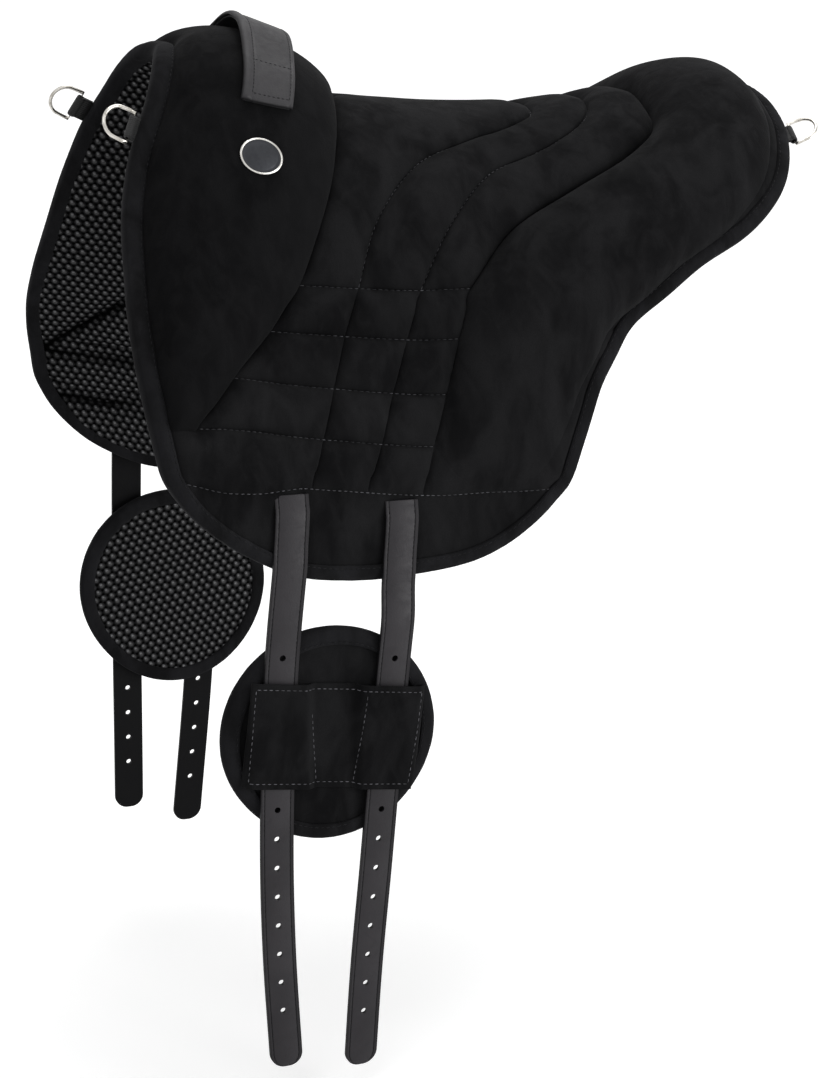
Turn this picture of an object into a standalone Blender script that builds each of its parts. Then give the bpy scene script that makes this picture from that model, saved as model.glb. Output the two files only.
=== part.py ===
"""Treeless bareback pad for a horse, as an assembly of its sewn and fastened pieces.

Metres, +Z up. -X is the horse's head, -Y its left side. The origin lies on the underside of the
pad's centre line, at the deepest point of the seat, where the pad rests on the horse's back.
"""

import math

import bmesh
import bpy
import numpy as np
from mathutils import Matrix, Vector
from mathutils.bvhtree import BVHTree

MM = 0.001

# Overall form of the pad
SPINE_LENGTH = 592 * MM
FLAP_LENGTH = 476 * MM
WITHER_RISE = 79 * MM

# Layers, from the horse outwards
FIT_GAP = 0.3 * MM
WELD_DISTANCE = 0.003 * MM
PROBE_REACH = 120.0 * MM
LINING_THICK = 2.0 * MM
FOAM_THICK = 12.0 * MM
FOAM_EDGE_THICK = 4.0 * MM
FOAM_HEM_THICK = 7.0 * MM
COVER_THICK = 1.5 * MM
CROWN_HEIGHT = 5.0 * MM
CHANNEL_DEPTH = 4.8 * MM

# Edge binding
BINDING_WIDTH = 12.0 * MM
BINDING_THICK = 1.2 * MM
BINDING_GAP = 1.3 * MM
BINDING_FOLD_GAP = 0.8 * MM

# Thigh and cantle blocks
THIGH_BLOCK_HEIGHT = 26.0 * MM
THIGH_WALL_HEIGHT = 12.0 * MM
THIGH_END_HEIGHT = 11.0 * MM
THIGH_END_WALL_HEIGHT = 7.0 * MM
CANTLE_BLOCK_HEIGHT = 30.0 * MM
CANTLE_WALL_HEIGHT = 9.0 * MM
CANTLE_END_HEIGHT = 9.0 * MM
CANTLE_END_WALL_HEIGHT = 6.0 * MM
BLOCK_SETBACK = 1.0 * MM
BLOCK_FOOT_GAP = 0.8 * MM
BLOCK_FOAM_GAP = 0.9 * MM
BLOCK_FOAM_LIFT = 0.8 * MM

# Girth webbing inside the pad, and the slots that it leaves by
WEBBING_WIDTH = 28.0 * MM
WEBBING_THICK = 2.0 * MM
WEBBING_DEPTH = 3.0 * MM
WEBBING_PITCH = 24.0 * MM
GROOVE_GAP = 0.5 * MM
SLOT_RISE_LENGTH = 18.0 * MM
SLOT_REACH = 2.0 * MM
SLOT_OVERRUN = 2.5 * MM

# Girth straps
STRAP_WIDTH = 30.0 * MM
STRAP_THICK = 3.5 * MM
LEFT_STRAP_SPACING = 95.0 * MM
RIGHT_STRAP_SPACING = 82.0 * MM
LEFT_STRAP_LENGTH = 522.0 * MM
RIGHT_STRAP_LENGTH = 464.0 * MM
STRAP_LEAN = math.radians(3.0)
HOLE_PITCH = 27.5 * MM
HOLE_DIAMETER = 5.5 * MM
LEFT_HOLES = 13
RIGHT_HOLES = 11
LAST_HOLE_TO_TIP = 54.0 * MM
TIP_LENGTH = 13.0 * MM
TIP_SIDES = 6
HOLE_SIDES = 8
STRAP_ROOT_GAP = 0.5 * MM
STRAP_BENDS = 4
CUT_OVERRUN = 2.0 * MM

# Guard discs that slide on the straps
DISC_DIAMETER = 192.0 * MM
DISC_BELOW_FLAP = 34.8 * MM
LEFT_DISC_AHEAD = 6.0 * MM
RIGHT_DISC_AHEAD = -5.0 * MM
DISC_LINING_THICK = 2.0 * MM
DISC_FOAM_THICK = 7.0 * MM
DISC_FOAM_EDGE_THICK = 3.5 * MM
DISC_FACE_THICK = 1.5 * MM
DISC_BINDING_WIDTH = 12.0 * MM
STRAP_CLEARANCE = 0.8 * MM
SLEEVE_HEIGHT = 93.0 * MM
SLEEVE_TILT = math.radians(7.0)
SLEEVE_THICK = 1.5 * MM
SLEEVE_RAMP = 8.0 * MM
SLEEVE_SIDE_ROOM = 2.0 * MM
SLEEVE_END_GAP = 1.5 * MM
SLEEVE_ROW_shares = (-0.5, -0.25, 0.0, 0.25, 0.5)
DISC_FLAT_MARGIN = 7.0 * MM
DISC_SIDES = 40

# Grab handle on the pommel
HANDLE_WIDTH = 46.0 * MM
HANDLE_LENGTH = 164.0 * MM
HANDLE_THICK = 2.6 * MM
HANDLE_BACKING_THICK = 1.8 * MM
HANDLE_BACKING_INSET = 2.0 * MM
HANDLE_ARCH_SPAN = 104.0 * MM
HANDLE_ARCH_FLAT = 24.0 * MM
FINGER_GAP = 9.5 * MM
HANDLE_SWEEP = 17.0 * MM
HANDLE_SWEEP_POWER = 1.5
HANDLE_PITCH = 7.0 * MM
HANDLE_PROBES = 6

# D-rings and their tabs
RING_INNER_WIDTH = 25.0 * MM
RING_DEPTH = 24.0 * MM
RING_WIRE = 3.2 * MM
FRONT_RING_TILT = math.radians(0.0)
REAR_RING_TILT = math.radians(30.0)
TAB_WIDTH = 20.0 * MM
TAB_THICK = 1.4 * MM
TAB_TAIL = 5.5 * MM
TAB_CLEARANCE = 0.35 * MM
TAB_GAP = 0.8 * MM
TAB_OPEN_ANGLE = 150
TAB_SIDES = 8
RING_SIDES = 10

# Oval plate on the left thigh block
PLATE_LENGTH = 34.0 * MM
PLATE_HEIGHT = 28.0 * MM
PLATE_THICK = 1.2 * MM
RIM_WIRE = 2.2 * MM
PLATE_SIDES = 24

# The centre line of the underside: (place along the spine, height) shares
RIDGE_shares = (
    (-0.74, 1.40), (-0.66, 1.22), (-0.578, 1.0), (-0.507, 0.77), (-0.422, 0.52), (-0.355, 0.33),
    (-0.301, 0.20), (-0.189, 0.08), (-0.101, 0.025), (0.0, 0.0), (0.17, 0.0), (0.338, 0.09),
    (0.43, 0.15),
)

# Slope of the underside down each side as a share of a right angle, by the share of the flap's
# length, at three stations along the spine: narrow withers, the seat, and the loins
DRAPE_shares = (0.0, 0.084, 0.168, 0.315, 0.483, 0.651, 0.798, 0.945, 1.134)
DRAPE_STATION_shares = (-0.642, -0.169, 0.338)
DRAPE_STEPS = 64
DRAPE_SLOPE_shares = (
    (0.0, 0.378, 0.722, 0.778, 0.700, 0.622, 0.733, 0.956, 1.0),
    (0.0, 0.222, 0.422, 0.644, 0.778, 0.856, 0.933, 0.989, 1.0),
    (0.0, 0.167, 0.333, 0.533, 0.689, 0.800, 0.889, 0.956, 0.978),
)
RIGHT_ANGLE = math.pi / 2

# Cutting pattern of one side, flat. Each seam runs from the spine down to the first quilting row
# as (along the spine, down the flap) shares, then crosses the rows and the bottom edge at the
# places along the spine that its second list gives
FRONT_EDGE_shares = (
    ((-0.578, 0.0), (-0.591, 0.05), (-0.625, 0.176), (-0.667, 0.303), (-0.688, 0.40)),
    (-0.701, -0.709, -0.712, -0.708, -0.699, -0.672),
)
THIGH_SEAM_shares = (
    ((-0.311, 0.0), (-0.346, 0.126), (-0.397, 0.311)),
    (-0.453, -0.510, -0.584, -0.652, -0.650, -0.611),
)
SEAT_SEAM_shares = (
    ((0.017, 0.0), (0.007, 0.063), (-0.051, 0.109), (-0.169, 0.164), (-0.253, 0.223), (-0.321, 0.324)),
    (-0.363, -0.395, -0.426, -0.456, -0.485, -0.507),
)
MIDDLE_SEAM_shares = (
    ((0.122, 0.0), (0.101, 0.076), (0.0, 0.164), (-0.135, 0.235), (-0.203, 0.319)),
    (-0.270, -0.302, -0.336, -0.365, -0.397, -0.419),
)
CANTLE_SEAM_shares = (
    ((0.211, 0.0), (0.177, 0.164), (0.059, 0.244), (-0.084, 0.315), (-0.144, 0.366)),
    (-0.194, -0.223, -0.253, -0.282, -0.307, -0.324),
)
REAR_EDGE_shares = (
    ((0.422, 0.0), (0.414, 0.130), (0.397, 0.235), (0.355, 0.328), (0.287, 0.395)),
    (0.189, 0.056, -0.003, -0.035, -0.064, -0.098),
)
SEAMS = (
    FRONT_EDGE_shares, THIGH_SEAM_shares, SEAT_SEAM_shares, MIDDLE_SEAM_shares,
    CANTLE_SEAM_shares, REAR_EDGE_shares,
)
BOTTOM_EDGE_shares = (
    (-0.672, 0.929), (-0.633, 0.960), (-0.591, 0.981), (-0.532, 0.992), (-0.422, 0.977),
    (-0.3125, 0.947), (-0.186, 0.916), (-0.144, 0.887), (-0.098, 0.845),
)
ROW_shares = (0.441, 0.530, 0.628, 0.720, 0.807)
ROW_LEVEL_FROM_share = -0.287
ROW_SWEEP = 32 * MM
ROW_SWEEP_REACH = 215 * MM
ROW_SWEEP_POWER = 1.5

# Mesh columns between neighbouring seams, and mesh rows above the first quilting row as shares
STRIPS = (3, 3, 2, 2, 3)
UPPER_ROW_shares = (0.0, 0.1, 0.22, 0.38, 0.58, 0.79, 1.0)

# Columns and rows of the pattern mesh that the names below stand for
FRONT_HEM = 1
THIGH_COLUMN = FRONT_HEM + STRIPS[0]
SEAT_COLUMN = THIGH_COLUMN + STRIPS[1]
MIDDLE_COLUMN = SEAT_COLUMN + STRIPS[2]
CANTLE_COLUMN = MIDDLE_COLUMN + STRIPS[3]
REAR_HEM = CANTLE_COLUMN + STRIPS[4]
REAR_EDGE = REAR_HEM + 1
FIRST_ROW = len(UPPER_ROW_shares) - 1
QUILT_ROWS = tuple(FIRST_ROW + 2 * k for k in range(len(ROW_shares)))
FOURTH_ROW = QUILT_ROWS[3]
LAST_ROW = QUILT_ROWS[4]
BOTTOM_HEM = LAST_ROW + 1
BOTTOM_EDGE = LAST_ROW + 2

# Places of the fittings: shares of the spine's and the flap's length
HANDLE_PLACE_share = -0.454
PLATE_PLACE_shares = (-0.497, 0.262)
FRONT_RING_share = 0.5
REAR_RING_share = 0.8
FRONT_RING_ROW = 3
REAR_RING_ROW = 2
WEBBING_TOP_shares = (-0.40, -0.235)
FRONT_STRAP_share = -0.518

COLOURS = {
    "suede": ((0.012, 0.012, 0.013), 0.95, 0.0),
    "mesh": ((0.010, 0.010, 0.010), 0.45, 0.0),
    "foam": ((0.55, 0.52, 0.45), 0.9, 0.0),
    "webbing": ((0.015, 0.015, 0.016), 0.8, 0.0),
    "leather": ((0.055, 0.052, 0.054), 0.55, 0.0),
    "nickel": ((0.75, 0.74, 0.72), 0.2, 1.0),
    "gunmetal": ((0.12, 0.12, 0.13), 0.35, 1.0),
}

LEFT = -1
RIGHT = 1
SIDE_NAMES = {LEFT: "left", RIGHT: "right"}
STRAP_SPACINGS = {LEFT: LEFT_STRAP_SPACING, RIGHT: RIGHT_STRAP_SPACING}
DISC_AHEADS = {LEFT: LEFT_DISC_AHEAD, RIGHT: RIGHT_DISC_AHEAD}
SLOT_STATIONS = 4


def clear_scene():
    for old in list(bpy.data.objects):
        bpy.data.objects.remove(old, do_unlink=True)


def make_collection(name):
    found = bpy.data.collections.new(name)
    bpy.context.scene.collection.children.link(found)
    return found


def make_material(name, kind):
    colour, roughness, metallic = COLOURS[kind]
    material = bpy.data.materials.new(name)
    material.use_nodes = True
    shader = material.node_tree.nodes["Principled BSDF"]
    shader.inputs["Base Color"].default_value = (*colour, 1.0)
    shader.inputs["Roughness"].default_value = roughness
    shader.inputs["Metallic"].default_value = metallic
    material.diffuse_color = (*colour, 1.0)
    return material


def smooth_curve(knots, values, at):
    """A smooth curve through the knots, with the slopes taken from their neighbours."""
    knots = np.asarray(knots, float)
    values = np.asarray(values, float)
    slopes = np.gradient(values, knots)
    i = int(np.clip(np.searchsorted(knots, at) - 1, 0, len(knots) - 2))
    span = knots[i + 1] - knots[i]
    s = min(max((at - knots[i]) / span, 0.0), 1.0)
    rise = values[i + 1] - values[i]
    ends = slopes[i] * span * (s**3 - 2 * s**2 + s) + slopes[i + 1] * span * (s**3 - s**2)
    return values[i] + rise * (3 * s**2 - 2 * s**3) + ends


def eased(at, start, end):
    """0 before the start, 1 past the end, and a smooth rise between."""
    share = min(max((at - start) / (end - start), 0.0), 1.0)
    return share * share * (3 - 2 * share)


def ridge_height(x):
    places, heights = zip(*RIDGE_shares)
    return smooth_curve(places, heights, x / SPINE_LENGTH) * WITHER_RISE


def drape_point(x, t):
    """The underside, x along the spine and t down the flap. A negative t is the left side."""
    front, middle, rear = (share * SPINE_LENGTH for share in DRAPE_STATION_shares)
    behind_front = eased(x, front, middle)
    behind_middle = eased(x, middle, rear)
    weights = (1 - behind_front, behind_front - behind_middle, behind_middle)
    slopes = sum(w * np.asarray(s, float) for w, s in zip(weights, DRAPE_SLOPE_shares))
    stride = abs(t) / DRAPE_STEPS
    places = (np.arange(DRAPE_STEPS) + 1 / 2) * stride
    angle = RIGHT_ANGLE * np.interp(places / FLAP_LENGTH, DRAPE_shares, slopes)
    across = float(np.sum(np.cos(angle)) * stride)
    down = float(np.sum(np.sin(angle)) * stride)
    return Vector((x, math.copysign(across, t), ridge_height(x) - down))


def drape(x, t, height=0.0):
    """The underside, raised square to itself by a height."""
    step = FIT_GAP
    along = drape_point(x + step, t) - drape_point(x - step, t)
    across = drape_point(x, t + step) - drape_point(x, t - step)
    return drape_point(x, t) + along.cross(across).normalized() * height


def drape_normal(x, t):
    return (drape(x, t, FIT_GAP) - drape(x, t)).normalized()


def row_depth(row, x):
    """How far down the flap a quilting row lies: level behind, and swept down towards the front."""
    ahead = max(0.0, ROW_LEVEL_FROM_share * SPINE_LENGTH - x)
    return ROW_shares[row] * FLAP_LENGTH + ROW_SWEEP * (ahead / ROW_SWEEP_REACH) ** ROW_SWEEP_POWER


def bottom_depth(x):
    places, depths = zip(*BOTTOM_EDGE_shares)
    return smooth_curve(places, depths, x / SPINE_LENGTH) * FLAP_LENGTH


def seam_points(seam):
    """One seam of the pattern as (x, t), row by row from the spine to the bottom edge."""
    upper, crossings = seam
    first_x = crossings[0] * SPINE_LENGTH
    knots = [(x * SPINE_LENGTH, t * FLAP_LENGTH) for x, t in upper]
    knots.append((first_x, row_depth(0, first_x)))
    lengths = np.cumsum([0.0] + [math.dist(a, b) for a, b in zip(knots, knots[1:])])
    points = []
    for share in UPPER_ROW_shares:
        at = share * lengths[-1]
        points.append(tuple(smooth_curve(lengths, values, at) for values in zip(*knots)))
    for row in range(1, len(ROW_shares)):
        x = crossings[row] * SPINE_LENGTH
        below = (x, row_depth(row, x))
        above = points[-1]
        points.append(((above[0] + below[0]) / 2, (above[1] + below[1]) / 2))
        points.append(below)
    bottom = crossings[-1] * SPINE_LENGTH
    hem = (points[-1][0] + bottom) / 2
    points.append((hem, bottom_depth(hem) - BINDING_WIDTH))
    points.append((bottom, bottom_depth(bottom)))
    return points


def pattern():
    """The (x, t) of every node of one side, as columns from front to rear edge of rows down."""
    seams = [seam_points(seam) for seam in SEAMS]
    columns = []
    for count, left, right in zip(STRIPS, seams, seams[1:]):
        for k in range(count):
            columns.append(mixed_column(left, right, k / count))
    columns.append(seams[-1])
    columns.insert(1, hem_column(columns[0], columns[1]))
    columns.insert(-1, hem_column(columns[-1], columns[-2]))
    return respaced(columns)


def mixed_column(left, right, share):
    column = []
    for row, (a, b) in enumerate(zip(left, right)):
        x = a[0] + (b[0] - a[0]) * share
        t = a[1] + (b[1] - a[1]) * share
        if row == len(left) - 1:
            t = bottom_depth(x)
        elif row == len(left) - 2:
            t = bottom_depth(x) - BINDING_WIDTH
        elif row in QUILT_ROWS:
            t = row_depth(QUILT_ROWS.index(row), x)
        column.append((x, t))
    return column


def hem_column(edge, inner):
    """The line where the binding ends, its own width inside the edge."""
    column = []
    for a, b in zip(edge, inner):
        share = BINDING_WIDTH / max(math.dist(a, b), BINDING_WIDTH)
        column.append((a[0] + (b[0] - a[0]) * share, a[1] + (b[1] - a[1]) * share))
    return column


def respaced(columns):
    """Spaces the columns between the front hem and the thigh seam, and behind the cantle seam, evenly."""
    for start, end in ((FRONT_HEM, THIGH_COLUMN), (CANTLE_COLUMN, REAR_HEM)):
        for column in range(start + 1, end):
            share = (column - start) / (end - start)
            columns[column] = mixed_column(columns[start], columns[end], share)
    return columns


PATTERN = pattern()
COLUMNS = len(PATTERN)
ROWS = 2 * len(PATTERN[0]) - 1
SPINE_ROW = len(PATTERN[0]) - 1


def node(u, v):
    """(x, t) of a node of the whole pattern, v counting from the left bottom edge to the right."""
    x, t = PATTERN[u][abs(v - SPINE_ROW)]
    return x, t if v >= SPINE_ROW else -t


def lining_top(u, v):
    return LINING_THICK


def foam_bottom(u, v):
    return LINING_THICK + FIT_GAP


def is_channel(u, row):
    if row == LAST_ROW:
        return FRONT_HEM < u < REAR_HEM
    if u == THIGH_COLUMN:
        return row <= FOURTH_ROW
    if u in (SEAT_COLUMN, MIDDLE_COLUMN, CANTLE_COLUMN):
        return row < LAST_ROW
    return THIGH_COLUMN <= u <= CANTLE_COLUMN and row in QUILT_ROWS


def foam_height(u, v):
    """Thickness of the foam: thin at the edge, pressed down along the channels, crowned between."""
    row = abs(v - SPINE_ROW)
    if u in (0, REAR_EDGE) or row == BOTTOM_EDGE:
        return FOAM_EDGE_THICK
    if u in (FRONT_HEM, REAR_HEM) or row == BOTTOM_HEM:
        return FOAM_HEM_THICK
    if is_channel(u, row):
        return FOAM_THICK - CHANNEL_DEPTH
    if THIGH_COLUMN < u < CANTLE_COLUMN and row < LAST_ROW:
        return FOAM_THICK + CROWN_HEIGHT
    return FOAM_THICK


def foam_top(u, v):
    return foam_bottom(u, v) + foam_height(u, v)


def cover_bottom(u, v):
    return foam_top(u, v) + FIT_GAP


def cover_top(u, v):
    return cover_bottom(u, v) + COVER_THICK


def level(u, v):
    return 0.0


def inset_node(floor, us, vs, a, b, inset):
    """(x, t) and floor of a node. On the border it is moved inwards, but where the border is the
    spine it only leaves a fitting gap to the other side's piece."""
    x, t = node(us[a], vs[b])
    ground = floor(us[a], vs[b])
    moved_x, moved_t, moved_ground = x, t, ground
    last_u = len(us) - 1
    last_v = len(vs) - 1
    inner_places = []
    if a in (0, last_u):
        inner_places.append((inset, us[min(max(a, 1), last_u - 1)], vs[b]))
    if b in (0, last_v):
        reach = FIT_GAP if vs[b] == SPINE_ROW else inset
        inner_places.append((reach, us[a], vs[min(max(b, 1), last_v - 1)]))
    for reach, inner_u, inner_v in inner_places:
        inner_x, inner_t = node(inner_u, inner_v)
        share = reach / math.dist((x, t), (inner_x, inner_t))
        moved_x += (inner_x - x) * share
        moved_t += (inner_t - t) * share
        moved_ground += (floor(inner_u, inner_v) - ground) * share
    return moved_x, moved_t, moved_ground


def surface(floor, us, vs, rise=level, inset=0.0, skirt=None):
    """Points over a block of nodes, at the floor's height and the rise above it. The border is
    moved inwards by the inset, and with a skirt it is repeated at the skirt's rise."""
    last_u = len(us) - 1
    last_v = len(vs) - 1
    spare = 1 if skirt else 0
    points = []
    for i in range(-spare, last_u + 1 + spare):
        line = []
        for j in range(-spare, last_v + 1 + spare):
            a = min(max(i, 0), last_u)
            b = min(max(j, 0), last_v)
            x, t, ground = inset_node(floor, us, vs, a, b, inset)
            above = skirt if (a, b) != (i, j) else rise(us[a], vs[b])
            line.append(drape(x, t, ground + above))
        points.append(line)
    return points


def add_grid(mesh, points):
    """Adds an open surface through rows of points, cut into triangles."""
    wide = len(points) - 1
    long = len(points[0]) - 1
    made = bmesh.ops.create_grid(mesh, x_segments=wide, y_segments=long, size=1.0)["verts"]
    for vertex in made:
        i = round((vertex.co.x + 1) / 2 * wide)
        j = round((vertex.co.y + 1) / 2 * long)
        vertex.co = points[i][j]
    faces = list({face for vertex in made for face in vertex.link_faces})
    bmesh.ops.triangulate(mesh, faces=faces, quad_method="FIXED")


def rimmed(points, rim):
    """A surface with one more ring of points round it, which are another surface's border."""
    last_i = len(points) - 1
    last_j = len(points[0]) - 1
    grown = []
    for i in range(-1, last_i + 2):
        a = min(max(i, 0), last_i)
        line = []
        for j in range(-1, last_j + 2):
            b = min(max(j, 0), last_j)
            line.append((points if (a, b) == (i, j) else rim)[a][b])
        grown.append(line)
    return grown


def finish(name, mesh, kind, collection):
    """Welds the mesh, turns its faces outwards and makes an object of it."""
    bmesh.ops.remove_doubles(mesh, verts=mesh.verts, dist=WELD_DISTANCE)
    bmesh.ops.recalc_face_normals(mesh, faces=mesh.faces)
    data = bpy.data.meshes.new(name)
    mesh.to_mesh(data)
    mesh.free()
    return place(name, data, kind, collection)


def place(name, data, kind, collection):
    made = bpy.data.objects.new(name, data)
    collection.objects.link(made)
    if kind:
        data.materials.clear()
        data.materials.append(make_material(name, kind))
    return made


def layer(name, upper, lower, kind, collection):
    """A closed solid between two surfaces of as many points."""
    mesh = bmesh.new()
    add_grid(mesh, rimmed(upper, lower))
    add_grid(mesh, lower)
    return finish(name, mesh, kind, collection)


def ring_loft(name, rings, kind, collection):
    """A closed tube through rings of points, its last ring joined to its first."""
    points = [list(ring) + [ring[0]] for ring in rings]
    points.append(points[0])
    mesh = bmesh.new()
    add_grid(mesh, points)
    return finish(name, mesh, kind, collection)


def make_cutter(made):
    made.hide_render = True
    made.display_type = "WIRE"
    return made


def cut(target, cutter):
    modifier = target.modifiers.new(cutter.name, "BOOLEAN")
    modifier.operation = "DIFFERENCE"
    modifier.solver = "EXACT"
    modifier.object = cutter


def all_columns():
    return list(range(COLUMNS))


def all_rows():
    return list(range(ROWS))


def make_layers(parts):
    every = (all_columns(), all_rows())
    bare = surface(level, *every)
    layer("lining", surface(lining_top, *every), bare, "mesh", parts)
    foam = layer("foam_core", surface(foam_top, *every), surface(foam_bottom, *every), "foam", parts)
    cover = layer(
        "seat_cover", surface(cover_top, *every), surface(cover_bottom, *every), "suede", parts
    )
    return foam, cover


def border_nodes():
    """The nodes round the pattern in order, each with the node where the binding ends beside it."""
    last_u = COLUMNS - 1
    last_v = ROWS - 1
    around = [(u, 0) for u in range(last_u)]
    around += [(last_u, v) for v in range(last_v)]
    around += [(u, last_v) for u in range(last_u, 0, -1)]
    around += [(0, v) for v in range(last_v, 0, -1)]
    inside = [(min(max(u, 1), last_u - 1), min(max(v, 1), last_v - 1)) for u, v in around]
    return list(zip(around, inside))


def make_binding(parts):
    """The folded tape sewn over the whole edge: a channel with a leaf on each face of the pad."""
    rings = []
    for edge, hem in border_nodes():
        edge_place = node(*edge)
        hem_place = node(*hem)
        width = math.dist(edge_place, hem_place)
        above = cover_top(*edge) + BINDING_GAP
        above_hem = cover_top(*hem) + BINDING_GAP
        fold = BINDING_FOLD_GAP

        def at(beyond, height):
            share = 1 + beyond / width
            x = hem_place[0] + (edge_place[0] - hem_place[0]) * share
            t = hem_place[1] + (edge_place[1] - hem_place[1]) * share
            return drape(x, t, height)

        rings.append([
            drape(*hem_place, above_hem + BINDING_THICK),
            at(fold + BINDING_THICK, above + BINDING_THICK),
            at(fold + BINDING_THICK, -fold - BINDING_THICK),
            drape(*hem_place, -fold - BINDING_THICK),
            drape(*hem_place, -fold),
            at(fold, -fold),
            at(fold, above),
            drape(*hem_place, above_hem),
        ])
    return ring_loft("edge_binding", rings, "webbing", parts)


def block(parts, names, us, vs, foam_spans, heights, end_heights, first_low_row):
    """A padded block on the seat cover: a domed cover with upright sides over its foam. Its dome
    and its sides get lower towards both ends."""
    def rise(drop):
        def above(u, v):
            side = u in (us[0], us[-1]) or v in (vs[0], vs[-1])
            low = eased(abs(v - SPINE_ROW), first_low_row, vs[-1] - SPINE_ROW)
            return heights[side] + (end_heights[side] - heights[side]) * low - drop
        return above

    cover_name, foam_names = names
    foot = BLOCK_FOOT_GAP
    inset = BLOCK_SETBACK + COVER_THICK
    upper = surface(cover_top, us, vs, rise(0.0), BLOCK_SETBACK, foot)
    lower = surface(cover_top, us, vs, rise(COVER_THICK), inset, foot)
    cover = layer(cover_name, upper, lower, "suede", parts)
    for name, span in zip(foam_names, foam_spans):
        around = inset + BLOCK_FOAM_GAP
        top = surface(cover_top, us, span, rise(COVER_THICK + BLOCK_FOAM_GAP), around)
        bottom = surface(cover_top, us, span, lambda u, v: foot + BLOCK_FOAM_LIFT, around)
        layer(name, top, bottom, "foam", parts)
    return cover


def make_blocks(parts):
    thigh_columns = list(range(FRONT_HEM, THIGH_COLUMN + 1))
    thigh_rows = list(range(SPINE_ROW - FOURTH_ROW, SPINE_ROW + FOURTH_ROW + 1))
    left = [v for v in thigh_rows if v <= SPINE_ROW]
    right = [v for v in thigh_rows if v >= SPINE_ROW]
    thigh = block(
        parts, ("thigh_block_cover", ("left_thigh_foam", "right_thigh_foam")),
        thigh_columns, thigh_rows, (left, right), (THIGH_BLOCK_HEIGHT, THIGH_WALL_HEIGHT),
        (THIGH_END_HEIGHT, THIGH_END_WALL_HEIGHT), QUILT_ROWS[1],
    )
    cantle_columns = list(range(CANTLE_COLUMN, REAR_HEM + 1))
    cantle_rows = list(range(SPINE_ROW - LAST_ROW, SPINE_ROW + LAST_ROW + 1))
    block(
        parts, ("cantle_block_cover", ("cantle_foam",)),
        cantle_columns, cantle_rows, (cantle_rows,), (CANTLE_BLOCK_HEIGHT, CANTLE_WALL_HEIGHT),
        (CANTLE_END_HEIGHT, CANTLE_END_WALL_HEIGHT), QUILT_ROWS[0],
    )
    return thigh


def hit_map(made):
    """The object's faces as a tree that rays can be cast at."""
    return BVHTree.FromObject(made, bpy.context.evaluated_depsgraph_get())


def height_over(tree, x, t):
    """How high above the underside an object's outer face is."""
    normal = drape_normal(x, t)
    hit = tree.ray_cast(drape(x, t) + normal * PROBE_REACH, -normal)[0]
    return (hit - drape(x, t)).dot(normal)


def strip(name, line, width, kind, collection):
    """A band laid across the pad along (x, t, inner height, outer height) stations."""
    upper = []
    lower = []
    for side in (-1, 1):
        upper.append([drape(x + side * width / 2, t, high) for x, t, low, high in line])
        lower.append([drape(x + side * width / 2, t, low) for x, t, low, high in line])
    return layer(name, upper, lower, kind, collection)


def strap_places(side):
    """The places along the spine where a side's front and rear straps leave the pad."""
    front = FRONT_STRAP_share * SPINE_LENGTH
    return front, front + STRAP_SPACINGS[side]


def slot_depth(x):
    """How far down the flap the webbing ends, just outside the cover."""
    return row_depth(len(ROW_shares) - 1, x) + SLOT_REACH


def webbing_half(side, top_x, foot_x, overrun=0.0):
    """(x, t, inner height) from the ridge down one side: flat on the foam, then up to the slot."""
    end = slot_depth(foot_x)
    flat = end - SLOT_RISE_LENGTH
    count = round(flat / WEBBING_PITCH)
    depths = [flat * k / count for k in range(count + 1)] + [flat + SLOT_RISE_LENGTH / 2, end]
    if overrun:
        depths.append(end + overrun)
    lie = foam_bottom(0, 0) + WEBBING_DEPTH
    line = []
    for depth in depths:
        rise = (slot_height() - lie) * max(depth - flat, 0.0) / SLOT_RISE_LENGTH
        x = top_x + (foot_x - top_x) * depth / end
        line.append((x, side * depth, lie + rise))
    return line


def webbing_line(top_x, feet, overrun=0.0):
    left, right = (
        webbing_half(side, top_x, foot_x, overrun) for side, foot_x in zip((LEFT, RIGHT), feet)
    )
    return left[:0:-1] + right


def make_webbing(foam, cover, parts, cutters):
    """Two webbings over the pad's foam, from the left straps to the right ones. They lie in grooves
    of the foam and come out through slots in the cover at the lowest seam."""
    ends = zip(*(strap_places(side) for side in (LEFT, RIGHT)))
    names = ("front_girth_webbing", "rear_girth_webbing")
    wide = WEBBING_WIDTH + 2 * GROOVE_GAP
    over = 2 * (FOAM_THICK + CROWN_HEIGHT)
    for name, feet, top_share in zip(names, ends, WEBBING_TOP_shares):
        top_x = top_share * SPINE_LENGTH
        line = webbing_line(top_x, feet)
        band = [(x, t, low, low + WEBBING_THICK) for x, t, low in line]
        strip(name, band, WEBBING_WIDTH, "webbing", parts)
        line = webbing_line(top_x, feet, SLOT_OVERRUN)
        trough = [(x, t, low - GROOVE_GAP, over) for x, t, low in line]
        cut(foam, make_cutter(strip(name + "_groove", trough, wide, None, cutters)))
        band = [(x, t, low - GROOVE_GAP, low + WEBBING_THICK + GROOVE_GAP) for x, t, low in line]
        for side, rise in ((LEFT, band[:SLOT_STATIONS]), (RIGHT, band[-SLOT_STATIONS:])):
            slot = strip(name + "_slot_" + SIDE_NAMES[side], rise, wide, None, cutters)
            cut(cover, make_cutter(slot))


def slot_height():
    """Height of the webbing's inner face where it lies on the cover, below the lowest seam."""
    return cover_top(MIDDLE_COLUMN, SPINE_ROW + LAST_ROW) + FIT_GAP


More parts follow.
